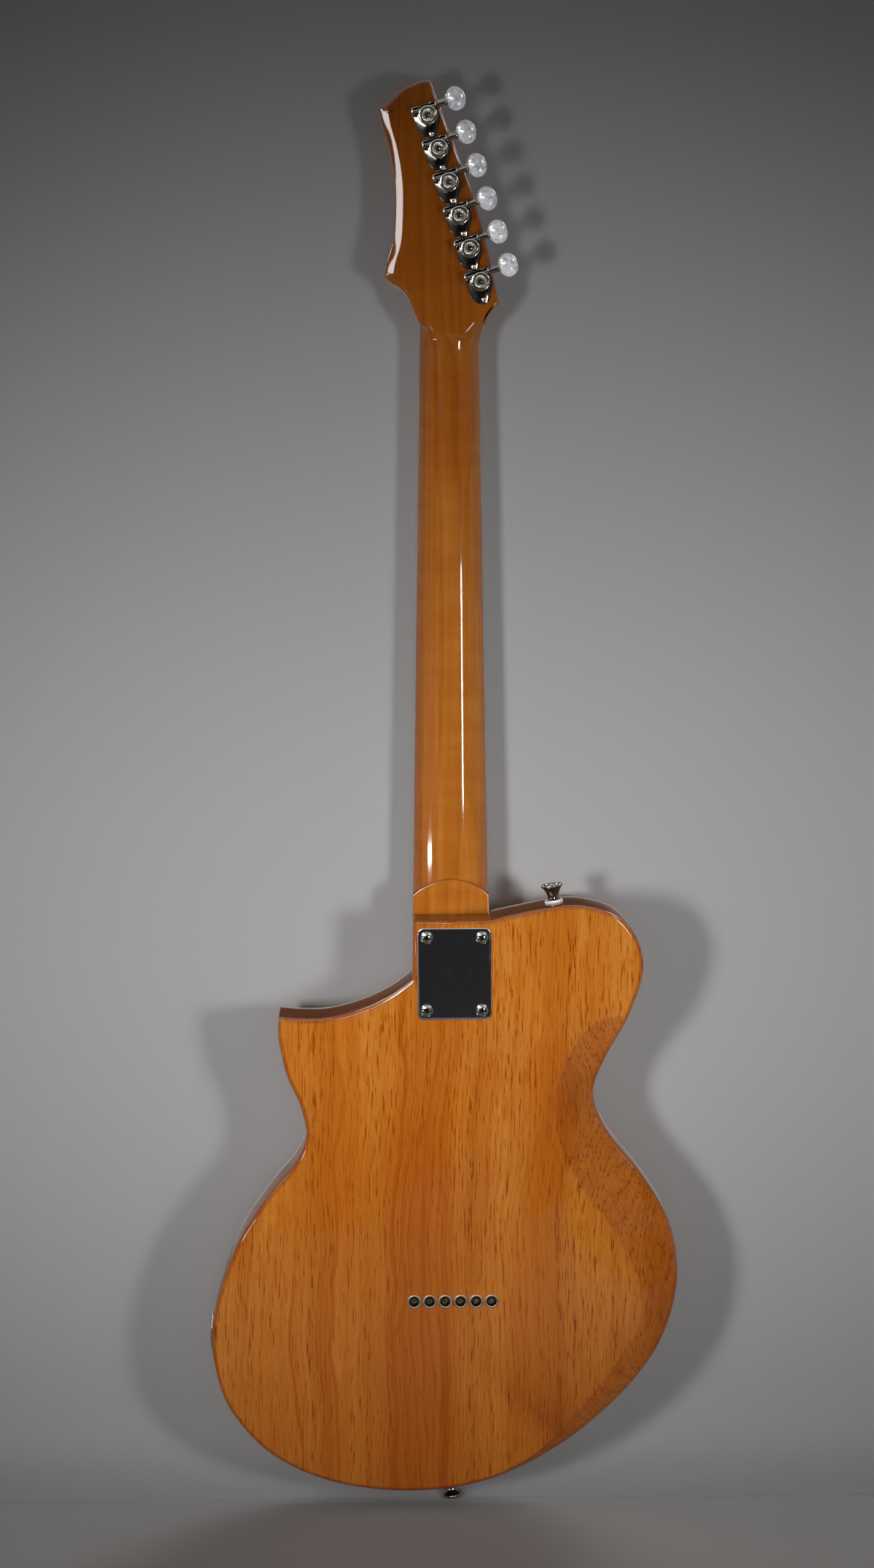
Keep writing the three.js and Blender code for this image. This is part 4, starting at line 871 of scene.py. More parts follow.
def make_neck_plate():
    outline = rounded_rect(plate_x, plate_z, plate_wide, plate_long, 4.5, 8)
    heights = [(0, 44), (0, 44.7), (0.08, 44.95), (0.25, 45.13), (0.5, 45.2)]
    cover = slab("steel_neck_plate", outline, heights)
    # each hole's edge is dished a little round its screw
    for sx in (-1, 1):
        for sz in (-1, 1):
            at = (plate_x + sx * hole_x, 0, plate_z + sz * hole_z)
            dish = turned("dish", [(4.35, 45.0), (4.9, 45.4)], 40, at, Y)
            shaped(cover, "DIFFERENCE", dish)
    return done(cover, made_of("chrome"), replaces=["neck_plate"])


def make_neck_screws():
    master = phillips_screw("neck_screw_master", 4.2, 2.1)
    for n, (sx, sz, turn) in enumerate(((-1, -1, 0.3), (1, -1, 1.1), (-1, 1, 0.8), (1, 1, 2.0))):
        origin = (plate_x + sx * hole_x, 45.1, plate_z + sz * hole_z)
        place = frame_of(origin, (cos(turn), 0, sin(turn)), (sin(turn), 0, -cos(turn)))
        screw = copied(master, f"oval_head_screw_{n + 1}", place)
        done(screw, turned_nickel, replaces=[f"neck_screw_{n + 1}"])
        # painted shadow: a dark cross sits in each recess, standing for the shade at its ground
        blades = []
        for part in (0, pi / 2):
            wing = [(2.2, -0.6), (2.2, 0.6), (-2.2, 0.6), (-2.2, -0.6)]
            blade = plate("ground", wing, [(0, 0.6), (0, 1.05)])
            blade.data.transform(place @ Matrix.Rotation(part + 0.4, 4, "Z"))
            blades.append(blade)
        done(joined(f"screw_recess_shadow_{n + 1}", *blades), painted_shade_nickel)
    remove(master)


def make_ferrules():
    profile = [(1, 35), (4, 35), (4, 43.9), (4.8, 43.9), (4.8, 44.3), (4.65, 44.5), (4.4, 44.6)]
    profile += [(3.9, 44.6), (3.6, 44.45), (3.5, 44.2), (3.5, 38), (1, 38)]
    cup = turned("cup", profile, 40, axis=Y, closed=True)
    # painted shade: a dark sleeve lines each cup's bore, standing for the shadow deep in it
    profile = [(3.5, 44.1), (3.5, 38), (3.3, 38), (3.3, 44.1)]
    bore = turned("bore", profile, 40, axis=Y, closed=True)
    profile = [(0.8, 38.3), (1.6, 38.35), (1.9, 38.7), (1.9, 41.1), (1.6, 41.45), (0.8, 41.5)]
    ball = turned("ball", profile, 24, axis=Y, closed=True)
    for i, x in enumerate(string_x):
        n, place = i + 1, shifted(x, 0, ferrule_z)
        done(copied(cup, f"ferrule_cup_{n}", place), dull_nickel, replaces=[f"string_ferrule_{n}"])
        done(copied(bore, f"ferrule_bore_{n}", place), painted_shade_nickel)
        done(copied(ball, f"ball_end_{n}", place), made_of("brass"))
    remove(cup, bore, ball)


make_neck_plate()
make_neck_screws()
make_ferrules()

# Strap buttons


def make_strap_buttons():
    shares = [
        (0.62, 0.06), (0.56, 0.2), (0.55, 0.33), (0.6, 0.5), (0.74, 0.68), (0.93, 0.83), (0.99, 0.88),
        (1, 0.93), (0.97, 0.97), (0.9, 1.0), (0.62, 1.0), (0.5, 0.93), (0.36, 0.9),
    ]
    button = turned("button", [(7.5 * r, 0.3 + 12.4 * h) for r, h in shares], 48)
    washer = turned("washer", [(6.2, 0.05), (6.4, 0.5), (6.4, 1.3), (6.1, 1.75), (3, 1.8)], 40)
    screw = phillips_screw("button_screw", 3.6, 1.5)
    screw.data.transform(shifted(0, 0, 11.3))
    for name, at, out in (
        ("upper", (-71.40, 22, -387.40), (0.138875, 0, 0.99031)),
        ("lower", (1.66, 22, -800.42), (-0.131166, 0, -0.99136)),
    ):
        z = Vector(out).normalized()
        x = Y.cross(z)
        place = frame_of(at, x, z.cross(x))
        stands_for = [f"strap_button_{name}"]
        done(copied(button, f"strap_{name}", place), darkened_nickel, replaces=stands_for)
        done(copied(screw, f"strap_{name}_screw", place), made_of("nickel"))
        done(copied(washer, f"strap_{name}_felt", place), (felt, "binding"))
    remove(button, washer, screw)


make_strap_buttons()

# Tuners
# Each is modelled about its post: x to the button, y to the headstock's tip, z out of its back.

row_lean, post_gap = radians(17.75), 23.3
first_post = Vector((-20.8, 38.7))
shaft_y, shaft_z = 5.25, 3.8


def post_at(k):
    """The kth post from the nut, in x and z."""
    return first_post + Vector((sin(row_lean), cos(row_lean))) * post_gap * k


def tuner_place(k):
    x, z = post_at(k)
    lean = (-cos(row_lean), 0, sin(row_lean)), (sin(row_lean), 0, cos(row_lean))
    return frame_of((x, head_back, z), *lean)


def make_housing():
    """A pressed plate, its two cheeks and the rim along its top, all of one sheet."""
    knots = [(-9.3, -6.13), (-6.79, -11.97), (-2.98, -14.6), (1.0, -14.16), (3.98, -9.64), (8.3, -2.92)]
    low = run([Vector(p) for p in knots], 5) + [Vector(knots[-1])]
    outline = low + [(8.3, 7.4), (7.5, 8.2), (-8.5, 8.2), (-9.3, 7.4)]
    base = plate("tuner_plate", outline, [(0, 0.02), (0, 0.9), (0.15, 1.15), (0.45, 1.3)])
    side = [
        (2.2, 0.9), (8.2, 0.9), (8.2, 4.6), (7.7, 5.7), (6.6, 6.25), (4.0, 6.25), (2.9, 5.8), (2.3, 4.8),
    ]
    walls = [softened(bar("cheek", side, ends), 0.25) for ends in ((-9.3, -8.0), (7.1, 8.3))]
    lip = [(7.5, 0.9), (8.2, 0.9), (8.2, 5.2), (8.0, 5.5), (7.6, 5.5)]
    walls.append(softened(bar("rim", lip, (-9.2, 8.2)), 0.12))
    boss = turned("boss", [(4.6, 1.2), (4.6, 1.75), (4.3, 2.05), (3.4, 2.1)], 32)
    return joined("tuner_plate", base, *walls, boss)


def make_wheel():
    """The thumb wheel: fluted side, a polished rim, and a ribbed dish with a small dark bore."""
    rows = [
        (1.95, 6.4), (5.9, 6.4), (6.5, 6.7, 0.25), (6.65, 7.0, 0.42), (6.65, 8.5, 0.42), (6.5, 8.95, 0.2),
        (6.2, 9.25), (5.8, 9.42), (5.35, 9.42), (5.15, 9.2), (5.05, 8.3), (4.5, 8.3), (4.35, 8.75, 0, 0.05),
        (3.9, 9.0, 0, 0.22), (2.7, 8.95, 0, 0.26), (2.1, 8.8, 0, 0.1), (1.95, 8.6),
    ]
    return fluted("wheel", rows, 40, 160, ribs=20, closed=True)


def make_gear():
    teeth, points = 14, []
    for n in range(teeth):
        turn = pi / 2 + tau * n / teeth
        for r, half in ((2.8, -0.47), (3.95, -0.2), (3.95, 0.2), (2.8, 0.47)):
            a = turn + atan2(half, r)
            points.append(Vector((r * cos(a), r * sin(a))))
    return plate("gear", points, [(0, 2.6), (0, 5.0)])


def make_shaft():
    """Worm, shaft, collar and sleeve on one line along x."""
    axis_at = (0, shaft_y, shaft_z)
    profile = [(1.5, -9.2), (1.5, -2.7), (1.05, -2.5), (1.05, 2.5), (1.5, 2.7), (1.5, 9.0)]
    core = turned("core", profile, 20, axis_at, X)
    turns, steps, module = 2.5, 16, 0.5
    shape = [(0.8, -0.6), (0.8, 0.6), (2.0, 0.12), (2.2, 0), (2.0, -0.12)]
    rings = []
    for s in range(int(turns * steps) + 1):
        turn = s / steps - turns / 2
        a, along = tau * turn, turn * pi * module
        rings.append([Vector((along + x, shaft_y + r * cos(a), shaft_z + r * sin(a))) for r, x in shape])
    thread = drawn_out("thread", rings)
    # the sleeve between the cheek and the button, with its end collar
    profile = [
        (1.2, 8.5), (2.1, 8.5), (2.35, 8.8), (2.35, 13.3), (2.15, 13.45), (2.15, 13.65), (2.6, 13.75),
        (2.85, 14.0), (2.85, 15.2), (2.6, 15.6), (1.6, 15.9),
    ]
    sleeve = turned("sleeve", profile, 32, axis_at, X)
    left = turned("left_end", [(1.4, -9.6), (1.9, -9.55), (2.0, -9.3)], 24, axis_at, X)
    return joined("tuner_shaft", core, thread, sleeve, left)


def make_pearl_button():
    """An oval button: fuller than an ellipse, pinched a little where the shaft goes in."""
    middle, half_long, half_wide, half_thick = 21.3, 6.65, 8.2, 4.0
    rings = []
    count, sides = 18, 40
    for k in range(count + 1):
        a = pi * (0.02 + 0.96 * k / count)
        x = middle - half_long * cos(a)
        size = abs(sin(a)) ** 0.8
        waist = 1 - 0.1 * max(cos(a), 0) ** 2
        width, thick = half_wide * size * waist, half_thick * size**0.92
        ring = []
        for i in range(sides):
            t = tau * i / sides
            cy = abs(cos(t)) ** 0.86 * (1 if cos(t) > 0 else -1)
            sz = abs(sin(t)) ** 0.94 * (1 if sin(t) > 0 else -1)
            ring.append(Vector((x, shaft_y + width * cy, shaft_z + thick * sz)))
        rings.append(ring)
    return drawn_out("pearl_button", rings)


def string_level(k):
    """How far out of the headstock's face the kth post holds its string: each a little less."""
    return 7.5 - 0.4 * k


def make_post(k):
    hold = head_face - head_back - string_level(k)
    top = hold - 4.9
    profile = [
        (1.2, top + 0.5), (2.4, top + 0.1), (2.8, top), (3.0, top + 0.35), (3.0, hold - 1.5),
        (2.6, hold - 0.9), (2.35, hold - 0.3), (2.3, hold), (2.35, hold + 0.3), (2.6, hold + 0.9),
        (3.0, hold + 1.5), (3.0, 2.3), (1.6, 2.9), (1.6, 7.2), (1.5, 7.4), (0.8, 7.4), (0.7, 6.6),
    ]
    spindle = turned("spindle", profile, 28)
    hole = rod("hole", 0.9, (0, -6, hold), (0, 6, hold), 16)
    return shaped(spindle, "DIFFERENCE", hole)


def make_bushing():
    hexagon = [Vector((5.9 * cos(tau * i / 6), 5.9 * sin(tau * i / 6))) for i in range(6)]
    nut = plate("nut", hexagon, [(0.3, -16.5), (0, -16.1), (0, -15.0), (0, -14.75)])
    softened(nut, 0.3)
    profile = [(1, -14.82), (6.7, -14.75), (6.9, -14.55), (6.9, -14.1), (1, -14.02)]
    washer = turned("washer", profile, 36)
    # each is bored by itself, as one cut through both, which touch, doesn't always work
    for piece, inner in ((nut, 3.35), (washer, 3.45)):
        shaped(piece, "DIFFERENCE", turned("bore", [(inner, -18), (inner, -13)], 28))
    return joined("tuner_bushing", nut, washer)


def make_tuners():
    housing, wheel, gear = make_housing(), make_wheel(), make_gear()
    shaft, button, bushing = make_shaft(), make_pearl_button(), make_bushing()
    screw = phillips_screw("tuner_screw", 1.6, 0.75)
    for k in range(6):
        n, place = 6 - k, tuner_place(k)
        stands_for = [f"tuner_housing_{n}"]
        done(copied(housing, f"housing_{n}", place), shade_darkened_nickel, replaces=stands_for)
        done(copied(bushing, f"bushing_{n}", place), made_of("nickel"))
        tip = place @ shifted(-1.2, -12.2, 1.25)
        done(copied(screw, f"housing_screw_{n}", tip), made_of("nickel"))
        body = f"tuner_lock_wheel_{n}"
        done(copied(wheel, f"thumb_wheel_{n}", place), turned_nickel, body, [body])
        body = f"tuner_post_{n}"
        post = joined(f"post_{n}", make_post(k), copied(gear, "gear_copy"))
        post.data.transform(place)
        done(post, made_of("nickel"), body, [body])
        body = f"tuner_button_{n}"
        done(copied(shaft, f"worm_shaft_{n}", place), darkened_nickel, body)
        done(copied(button, f"pearl_oval_{n}", place), made_of("pearl"), body, [body])
    remove(housing, wheel, gear, shaft, button, bushing, screw)


make_tuners()

# Fretboard, nut and strings
# Pieces of the face are modelled lying flat, x to the treble, y up the neck, z out of the face.

face = frame_of((0, 0, 0), (1, 0, 0), (0, 0, 1))


def on_face(piece, finish, body="guitar", replaces=(), angle=32):
    piece.data.transform(face)
    return done(piece, finish, body, replaces, angle)


def face_screws(name, radius, height, z, places, size=1):
    """Screws seen on the face, each a copy of one."""
    master = phillips_screw("screw", radius, height, 1)
    for n, (x, y) in enumerate(places):
        place = face @ shifted(x, y, z) @ Matrix.Scale(size, 4)
        done(copied(master, f"{name}_{n + 1}", place), made_of("nickel"))
    remove(master)


def fret_at(n):
    """The nth fret's place along the neck, each the twelfth root of two nearer the bridge."""
    return -scale * (1 - 2 ** (-n / 12))


def board_section(y, inner, outer, steps=12):
    """A section of the board between two distances from its middle line, crowned on top."""
    xs = [inner + (outer - inner) * i / steps for i in range(steps + 1)]
    top = [Vector((x, y, -board_face - crown(x))) for x in xs]
    return [Vector((outer, y, -board_bottom)), *reversed(top), Vector((inner, y, -board_bottom))]


def make_fretboard():
    end, edge = -474, 1.5
    ends = []
    for y in (end, 0):
        half = neck_half(y) - edge
        ends.append(board_section(y, -half, half, 24))
    on_face(drawn_out("maple_board", ends), made_of("board_wood"), replaces=["fretboard"])
    strips = []
    for side in (-1, 1):
        rings = []
        for y in (end, 0):
            half = neck_half(y)
            a, b = sorted((side * half, side * (half - edge)))
            rings.append(board_section(y, a, b, 2))
        strips.append(softened(drawn_out("strip", rings), 0.3, 2, 50))
    on_face(joined("board_binding", *strips), made_of("binding"))
    frets = [make_fret(fret_at(n)) for n in range(1, 23)]
    on_face(joined("nickel_silver_frets", *frets), made_of("nickel"))
    dots, side_dots = [], []
    for n in (3, 5, 7, 9, 12, 15, 17, 19, 21):
        y = (fret_at(n) + fret_at(n - 1)) / 2
        for x in (-9, 9) if n == 12 else (0,):
            high = -board_face - crown(x)
            profile = [(3.2, high - 1), (3.2, high - 0.02), (3.0, high + 0.04)]
            dots.append(turned("dot", profile, 32, (x, y, 0)))
        for shift in (-3, 3) if n == 12 else (0,):
            side = Vector((-neck_half(y), y + shift, 6.6))
            side_dots.append(turned("dot", [(0.95, -0.6), (0.95, 0.03)], 16, side, -X))
    on_face(joined("face_dots", *dots), (black, "black_plastic"))
    on_face(joined("side_dots", *side_dots), (black, "black_plastic"))


def make_fret(y):
    """Half round wire on the board's crown, its two ends filed to a slope."""
    half, rings = neck_half(y) - 0.2, []
    for i in range(17):
        x, last = half * (i / 8 - 1), i in (0, 16)
        low, slope = -board_face - crown(x) - 0.1, 0.35 if last else 1
        ring = []
        for k in range(9):
            a = pi * k / 8
            ring.append(Vector((x if last else x * 0.985, y + 1.2 * cos(a), low + 1.1 * sin(a) * slope)))
        rings.append(ring)
    return drawn_out("fret", rings)


def string_height(i):
    """How far out of the face the middle of a string runs at the nut."""
    return -board_face + 1.5 + string_gauges[i] / 2 - crown(nut_x[i])


def make_nut():
    half, rings = 20.35, []
    for y, drop in ((0, 0.25), (0.25, 0), (2.4, 0), (3.1, 0.35), (3.5, 1.1)):
        top = [half * (1 - i / 10) for i in range(21)]
        ring = [Vector((-half, y, -board_bottom)), Vector((half, y, -board_bottom))]
        for x in top:
            corner = max(abs(x) / half - 0.85, 0) / 0.15
            ring.append(Vector((x, y, -board_face + 2 - crown(x) - drop - corner**2)))
        rings.append(ring)
    nut = drawn_out("bone_nut", rings)
    for i, (x, gauge) in enumerate(zip(nut_x, string_gauges)):
        high = string_height(i)
        groove = rod("groove", gauge / 2 + 0.06, (x, -1, high), (x, 5, high), 12)
        shaped(nut, "DIFFERENCE", groove)
    return on_face(nut, made_of("bone"), replaces=["nut"])


def make_strings():
    for i, gauge in enumerate(string_gauges):
        r, x, k = gauge / 2, string_x[i], 5 - i
        wrap = saddle_radius + r
        points = [Vector((x, ferrule_z, -40)), Vector((x, ferrule_z, -20))]
        points += [Vector((x, ferrule_z, 0.5)), Vector((x, ferrule_z + 0.5, 3))]
        for a in (52, 40, 28, 16, 6, 0):
            turn = radians(a)
            high = saddle_height(2 - i // 2) + wrap * cos(turn)
            points.append(Vector((x, -scale - wrap * sin(turn), high)))
        high = string_height(i)
        points += [Vector((nut_x[i], 0, high)), Vector((nut_x[i], 3.4, high - 0.05))]
        post, level_z = Vector((*post_at(k), 0)), string_level(k) - head_face
        turn_radius, turns = 2.42 + r, 1.6 if gauge > 0.5 else 2.6
        pitch = gauge * 1.06
        steps = int(turns * 14)
        for s in range(steps + 1):
            a = tau * turns * s / steps
            rise = level_z + pitch * turns * (0.5 - s / steps)
            points.append(post + Vector((turn_radius * cos(a), turn_radius * sin(a), rise)))
        wire = tube(f"string_wire_{i + 1}", points, r, 10)
        paint = wound if gauge > 0.5 else steel
        on_face(wire, (paint, "string_steel"), replaces=[f"string_{i + 1}"], angle=60)


# Bridge


def saddle_height(pair):
    """How far out of the face a saddle's middle line is: the outer ones sit lower."""
    return 13.9 - crown(saddle_x[pair]) - saddle_radius


def leaning(width, length, radius, steps):
    """A rounded oblong about the bridge pickup's centre that leans as the pickup does."""
    middle, turn = Vector(pickup_centre), Matrix.Rotation(-pickup_lean, 2)
    outline = rounded_rect(*pickup_centre, width, length, radius, steps)
    return [middle + turn @ (Vector(p) - middle) for p in outline]


def make_bridge():
    outline = rounded_rect(0, -639, 86, 84, 4, 6)
    tray = plate("steel_bridge_tray", outline, [(0, 0.02), (0, 9.6)])
    inside = plate("inside", rounded_rect(0, -634.7, 82.8, 89.4, 2.4, 5), [(0, 1.6), (0, 12)])
    shaped(tray, "DIFFERENCE", inside)
    softened(tray, 0.45, 3, 40)
    cutters = [plate("window", leaning(72, 20, 9.9, 8), [(0, -1), (0, 3)])]
    cutters += [rod("hole", 1.6, (x, ferrule_z, -1), (x, ferrule_z, 3), 20) for x in string_x]
    high = saddle_height(0)
    cutters += [rod("hole", 1.75, (x, -690, high), (x, -670, high), 20) for x in saddle_x]
    shaped(tray, "DIFFERENCE", *cutters)
    on_face(tray, made_of("nickel"), replaces=["bridge_plate"])
    face_screws("bridge_screw", 3.2, 1.5, 1.55, [(x, -673) for x in (-34, -12, 12, 34)])


def make_spring(x, z):
    """A coil round a saddle's long screw."""
    turns, per_turn, start, length = 9, 14, -653.5, 25
    coil = []
    for step in range(turns * per_turn + 1):
        a = tau * step / per_turn
        y = start - length * step / (turns * per_turn)
        coil.append(Vector((x + 2.15 * cos(a), y, z + 2.15 * sin(a))))
    return tube("spring", coil, 0.36, 6)


def make_saddles():
    half, reach, screw_z = 10.2, 7.4, saddle_height(0)
    for pair, x in enumerate(saddle_x):
        high = saddle_height(pair)
        profile = [
            (3.3, -half), (3.75, -half + 0.15), (3.95, -half + 0.6), (3.95, half - 0.6),
            (3.75, half - 0.15), (3.3, half),
        ]
        barrel = turned(f"saddle_barrel_{pair + 1}", profile, 40, (x, -scale, high), X)
        for side in (x - reach, x + reach):
            well = rod("well", 1.5, (side, -scale, high + 2), (side, -scale, high + 5), 20)
            shaped(barrel, "DIFFERENCE", well)
        on_face(barrel, made_of("brass"), replaces=[f"saddle_{pair + 1}"])
        profile = [
            (1.1, 1.7), (1.4, 2.0), (1.4, high + 3.1), (1.15, high + 3.3), (0.7, high + 3.3),
            (0.65, high + 2.4),
        ]
        parts = [turned("leg", profile, 20, (side, -scale, 0)) for side in (x - reach, x + reach)]
        parts.append(rod("stem", 1.35, (x, -scale - 2, screw_z), (x, -681.5, screw_z), 20))
        profile = [(2.6, 0), (2.8, 0.25), (2.8, 1.5), (2.3, 2.0), (1.2, 2.1)]
        head = turned("head", profile, 28, (x, -681.3, screw_z), -Y)
        across = [(x + a, screw_z + b) for a, b in ((-4, -0.4), (4, -0.4), (4, 0.4), (-4, 0.4))]
        slot = slab("slot", across, [(0, -682.6), (0, -684)])
        parts += [shaped(head, "DIFFERENCE", slot), make_spring(x, screw_z)]
        on_face(joined(f"saddle_screws_{pair + 1}", *parts), (steel, "brass"))


# Pickups and controls


def make_pickups():
    heights = [
        (0, 0.1), (0, 1.1), (0.2, 1.25), (1.0, 1.3), (1.0, 4.3), (0.2, 4.35), (0, 4.5), (0, 5.2),
        (0.12, 5.42), (0.4, 5.5),
    ]
    coil = plate("bridge_coil", leaning(71, 19, 9.4, 10), heights)
    on_face(coil, made_of("black_plastic"), replaces=["bridge_pickup"])
    poles = []
    for x in string_x:
        at = (x * 0.97, pickup_centre[1] - x * 0.97 * tan(pickup_lean), 0)
        poles.append(turned("pole", [(2.4, 5.2), (2.4, 6.05), (2.25, 6.25), (1.9, 6.3)], 32, at))
    on_face(joined("pole_pieces", *poles), (steel, "rod_steel"))
    places = [(29.3, -612.9), (-23.3, -600.8), (-3.0, -633.2)]
    face_screws("pickup_screw", 2.2, 1.1, 1.58, places)
    cover_y = -491
    heights = [(0, 0.1), (0, 5.6), (0.1, 6.15), (0.45, 6.65), (1.0, 6.93), (1.6, 7.0)]
    cover = plate("neck_pickup_cover", rounded_rect(0, cover_y, 66, 18, 8.9, 10), heights)
    on_face(cover, made_of("chrome"), replaces=["neck_pickup"])
    face_screws("cover_screw", 2.2, 1.1, 6.95, [(-29, cover_y), (29, cover_y)])


def make_controls():
    outline = rounded_rect(control_x, -643, 33, 160, 16.2, 14)
    heights = [(0, 0.02), (0, 1.15), (0.12, 1.4), (0.4, 1.6)]
    cover = plate("steel_control_plate", outline, heights)
    slot = plate("slot", rounded_rect(control_x, switch_y, 2.3, 12.7, 1.1, 5), [(0, -1), (0, 3)])
    shaped(cover, "DIFFERENCE", slot)
    on_face(cover, made_of("nickel"), replaces=["control_plate"])
    face_screws("plate_screw", 3.0, 1.4, 1.57, [(control_x, y) for y in (-569, -717)])
    places = [(control_x, switch_y + 17), (control_x, switch_y - 17)]
    face_screws("switch_screw", 3.0, 1.4, 1.57, places, 0.7)
    for name, y in (("volume", -654), ("tone", -694)):
        on_face(make_knob(name, y), made_of("nickel"), f"{name}_knob", [f"{name}_knob"])
        dot = turned(f"{name}_pointer", [(0.9, 15.5), (0.9, 16.68)], 20, (control_x, y + 5.4, 0))
        on_face(dot, (black, "black_plastic"), f"{name}_knob")
    outline = rounded_rect(control_x, switch_y, 1.6, 5, 0.6, 3)
    lever = plate("lever_blade", outline, [(0, -8), (0, 12)])
    on_face(lever, (steel, "black_plastic"), "switch_lever")
    profile = [
        (2.9, 8.0), (3.55, 8.15), (3.75, 8.8), (4.1, 13), (4.3, 16), (4.22, 16.9), (3.8, 17.8),
        (2.9, 18.35), (1.5, 18.5),
    ]
    tip = turned("lever_tip", profile, 40, (control_x, switch_y, 0))
    on_face(tip, made_of("black_plastic"), "switch_lever", ["switch_lever"])


def make_knob(name, y):
    """A knurled metal knob, its top dished a little."""
    rows = [
        (6, 2.2), (9.0, 2.2), (9.35, 2.5), (9.4, 3.4), (9.4, 3.6, 0.35), (9.05, 14.4, 0.35),
        (9.0, 14.7), (8.85, 15.6), (8.5, 16.3), (7.9, 16.65), (7.4, 16.7), (6.9, 16.5), (3, 16.4),
    ]
    return fluted(f"{name}_cap", rows, 44, 176, centre=(control_x, y))


def make_jack():
    profile = [
        (5.5, -28.5), (5.5, -10.5), (10.5, -10.5), (10.5, 0.15), (13.4, 0.15), (13.4, 0.6), (13.0, 1.0),
        (12.2, 1.25), (10.2, 1.3), (9.4, 1.1), (9.0, 0.5), (8.9, -8.6), (8.5, -9.0), (4.6, -9.0),
        (4.5, -8.3), (3.5, -8.2), (3.3, -8.6), (3.3, -27), (2.6, -27), (2.6, -28.5),
    ]
    cup = turned("jack_bell", profile, 56, jack_at, jack_out, closed=True)
    done(cup, made_of("nickel"), replaces=["jack_cup"])


make_fretboard()
make_nut()
make_strings()
make_bridge()
make_saddles()
make_pickups()
make_controls()
make_jack()

# Stage, light and camera

floor_z = -814.5
wall_y = -21


def stage_material(name, colour, fades, one_sided):
    """A matt stage surface that fades out over ranges of a length or a coordinate: fades are
    (output, way, from, to) of the place in metres."""
    paint, tree, shader, place = new_finish(name, colour, 0.0, 0.9, Specular_IOR_Level=0.1)
    if not one_sided:
        # painted light: the floor is painted paler behind the camera's frame, a pool of light that the
        # guitar's back mirrors
        parts = add(tree, "SeparateXYZ", {0: place})
        nearer = add(tree, "MapRange", {0: parts.outputs["Y"], 1: 0.2, 2: 0.45})
        tone = add(tree, "ValToRGB", {0: nearer}, [(0, colour), (1, "#f4efea")])
        tree.links.new(tone.outputs[0], shader.inputs["Base Color"])
    clear = add(tree, "BsdfTransparent")
    seen = shader
    for way, near, far in fades:
        part = add(tree, "VectorMath", {0: place, 1: way}, operation="MULTIPLY")
        length = add(tree, "VectorMath", {0: part}, operation="LENGTH").outputs["Value"]
        gone = add(tree, "MapRange", {0: length, 1: near, 2: far})
        seen = add(tree, "MixShader", {0: gone, 1: seen, 2: clear})
    if one_sided:
        side = add(tree, "NewGeometry").outputs["Backfacing"]
        seen = add(tree, "MixShader", {0: side, 1: seen, 2: clear})
    tree.links.new(seen.outputs[0], tree.nodes["Material Output"].inputs["Surface"])
    return paint


def make_stage():
    deselect()
    settings = {"vertices": 96, "radius": 0.92, "fill_type": "NGON", "location": (0, 0, floor_z * mm)}
    bpy.ops.mesh.primitive_circle_add(**settings)
    floor = bpy.context.object
    floor.name = "floor"
    fades = [((1, 1, 0), 0.86, 0.9)]
    floor.data.materials.append(stage_material("pale_floor_paint", "#92908f", fades, False))
    # the backdrop leans like a hanging sheet and rounds into the floor; only the camera sees it,
    # and only from its front, so that it doesn't stand before the guitar in views of the face
    bend, steps = 56, 10
    foot = [
        (wall_y + bend * (1 - cos(a)), floor_z + bend * (1 - sin(a)))
        for a in [pi / 2 * k / steps for k in range(steps, -1, -1)]
    ]
    profile = [*foot, (wall_y + 2.2, -600), (wall_y + 8.7, 170), (wall_y + 24, 2000)]
    deselect()
    bpy.ops.mesh.primitive_grid_add(x_subdivisions=1, y_subdivisions=len(profile) - 1, size=1)
    wall = bpy.context.object
    wall.name = "backdrop"
    for i, vertex in enumerate(wall.data.vertices):
        y, z = profile[i // 2]
        vertex.co = Vector((3000 if i % 2 else -3000, y, z)) * mm
    wall.data.update()
    if wall.data.polygons[-1].normal.y < 0:
        in_edit_mode(wall, bpy.ops.mesh.flip_normals)
    pick(wall)
    bpy.ops.object.shade_smooth()
    fades = [((1, 0, 0), 1.2, 2.8), ((0, 0, 1), 1.2, 1.9), ((0, 1, 0), 0.022, 0.0345)]
    wall.data.materials.append(stage_material("grey_backdrop_paper", "#8e8d8e", fades, True))
    wall.visible_diffuse = wall.visible_glossy = wall.visible_transmission = False
    wall.visible_shadow = False


def lamp(name, turn, distance, height, aim, size, power, spread=180, mirrored=False):
    """A soft lamp at an angle from straight behind the guitar, towards the bass side, its height
    and the height it is aimed at in metres. A mirrored one shows in lacquer and metal and lights
    nothing else; the others light and do not show."""
    light = bpy.data.lights.new(name, "AREA")
    light.shape = "RECTANGLE"
    light.size, light.size_y = size
    light.energy = power
    light.spread = radians(spread)
    made = bpy.data.objects.new(name, light)
    bpy.context.scene.collection.objects.link(made)
    a = radians(turn)
    made.location = (-sin(a) * distance, cos(a) * distance, height)
    way = Vector((0, 0, aim)) - made.location
    made.rotation_euler = way.to_track_quat("-Z", "Y").to_euler()
    made.visible_camera = False
    made.visible_glossy = mirrored
    made.visible_diffuse = not mirrored
    return made


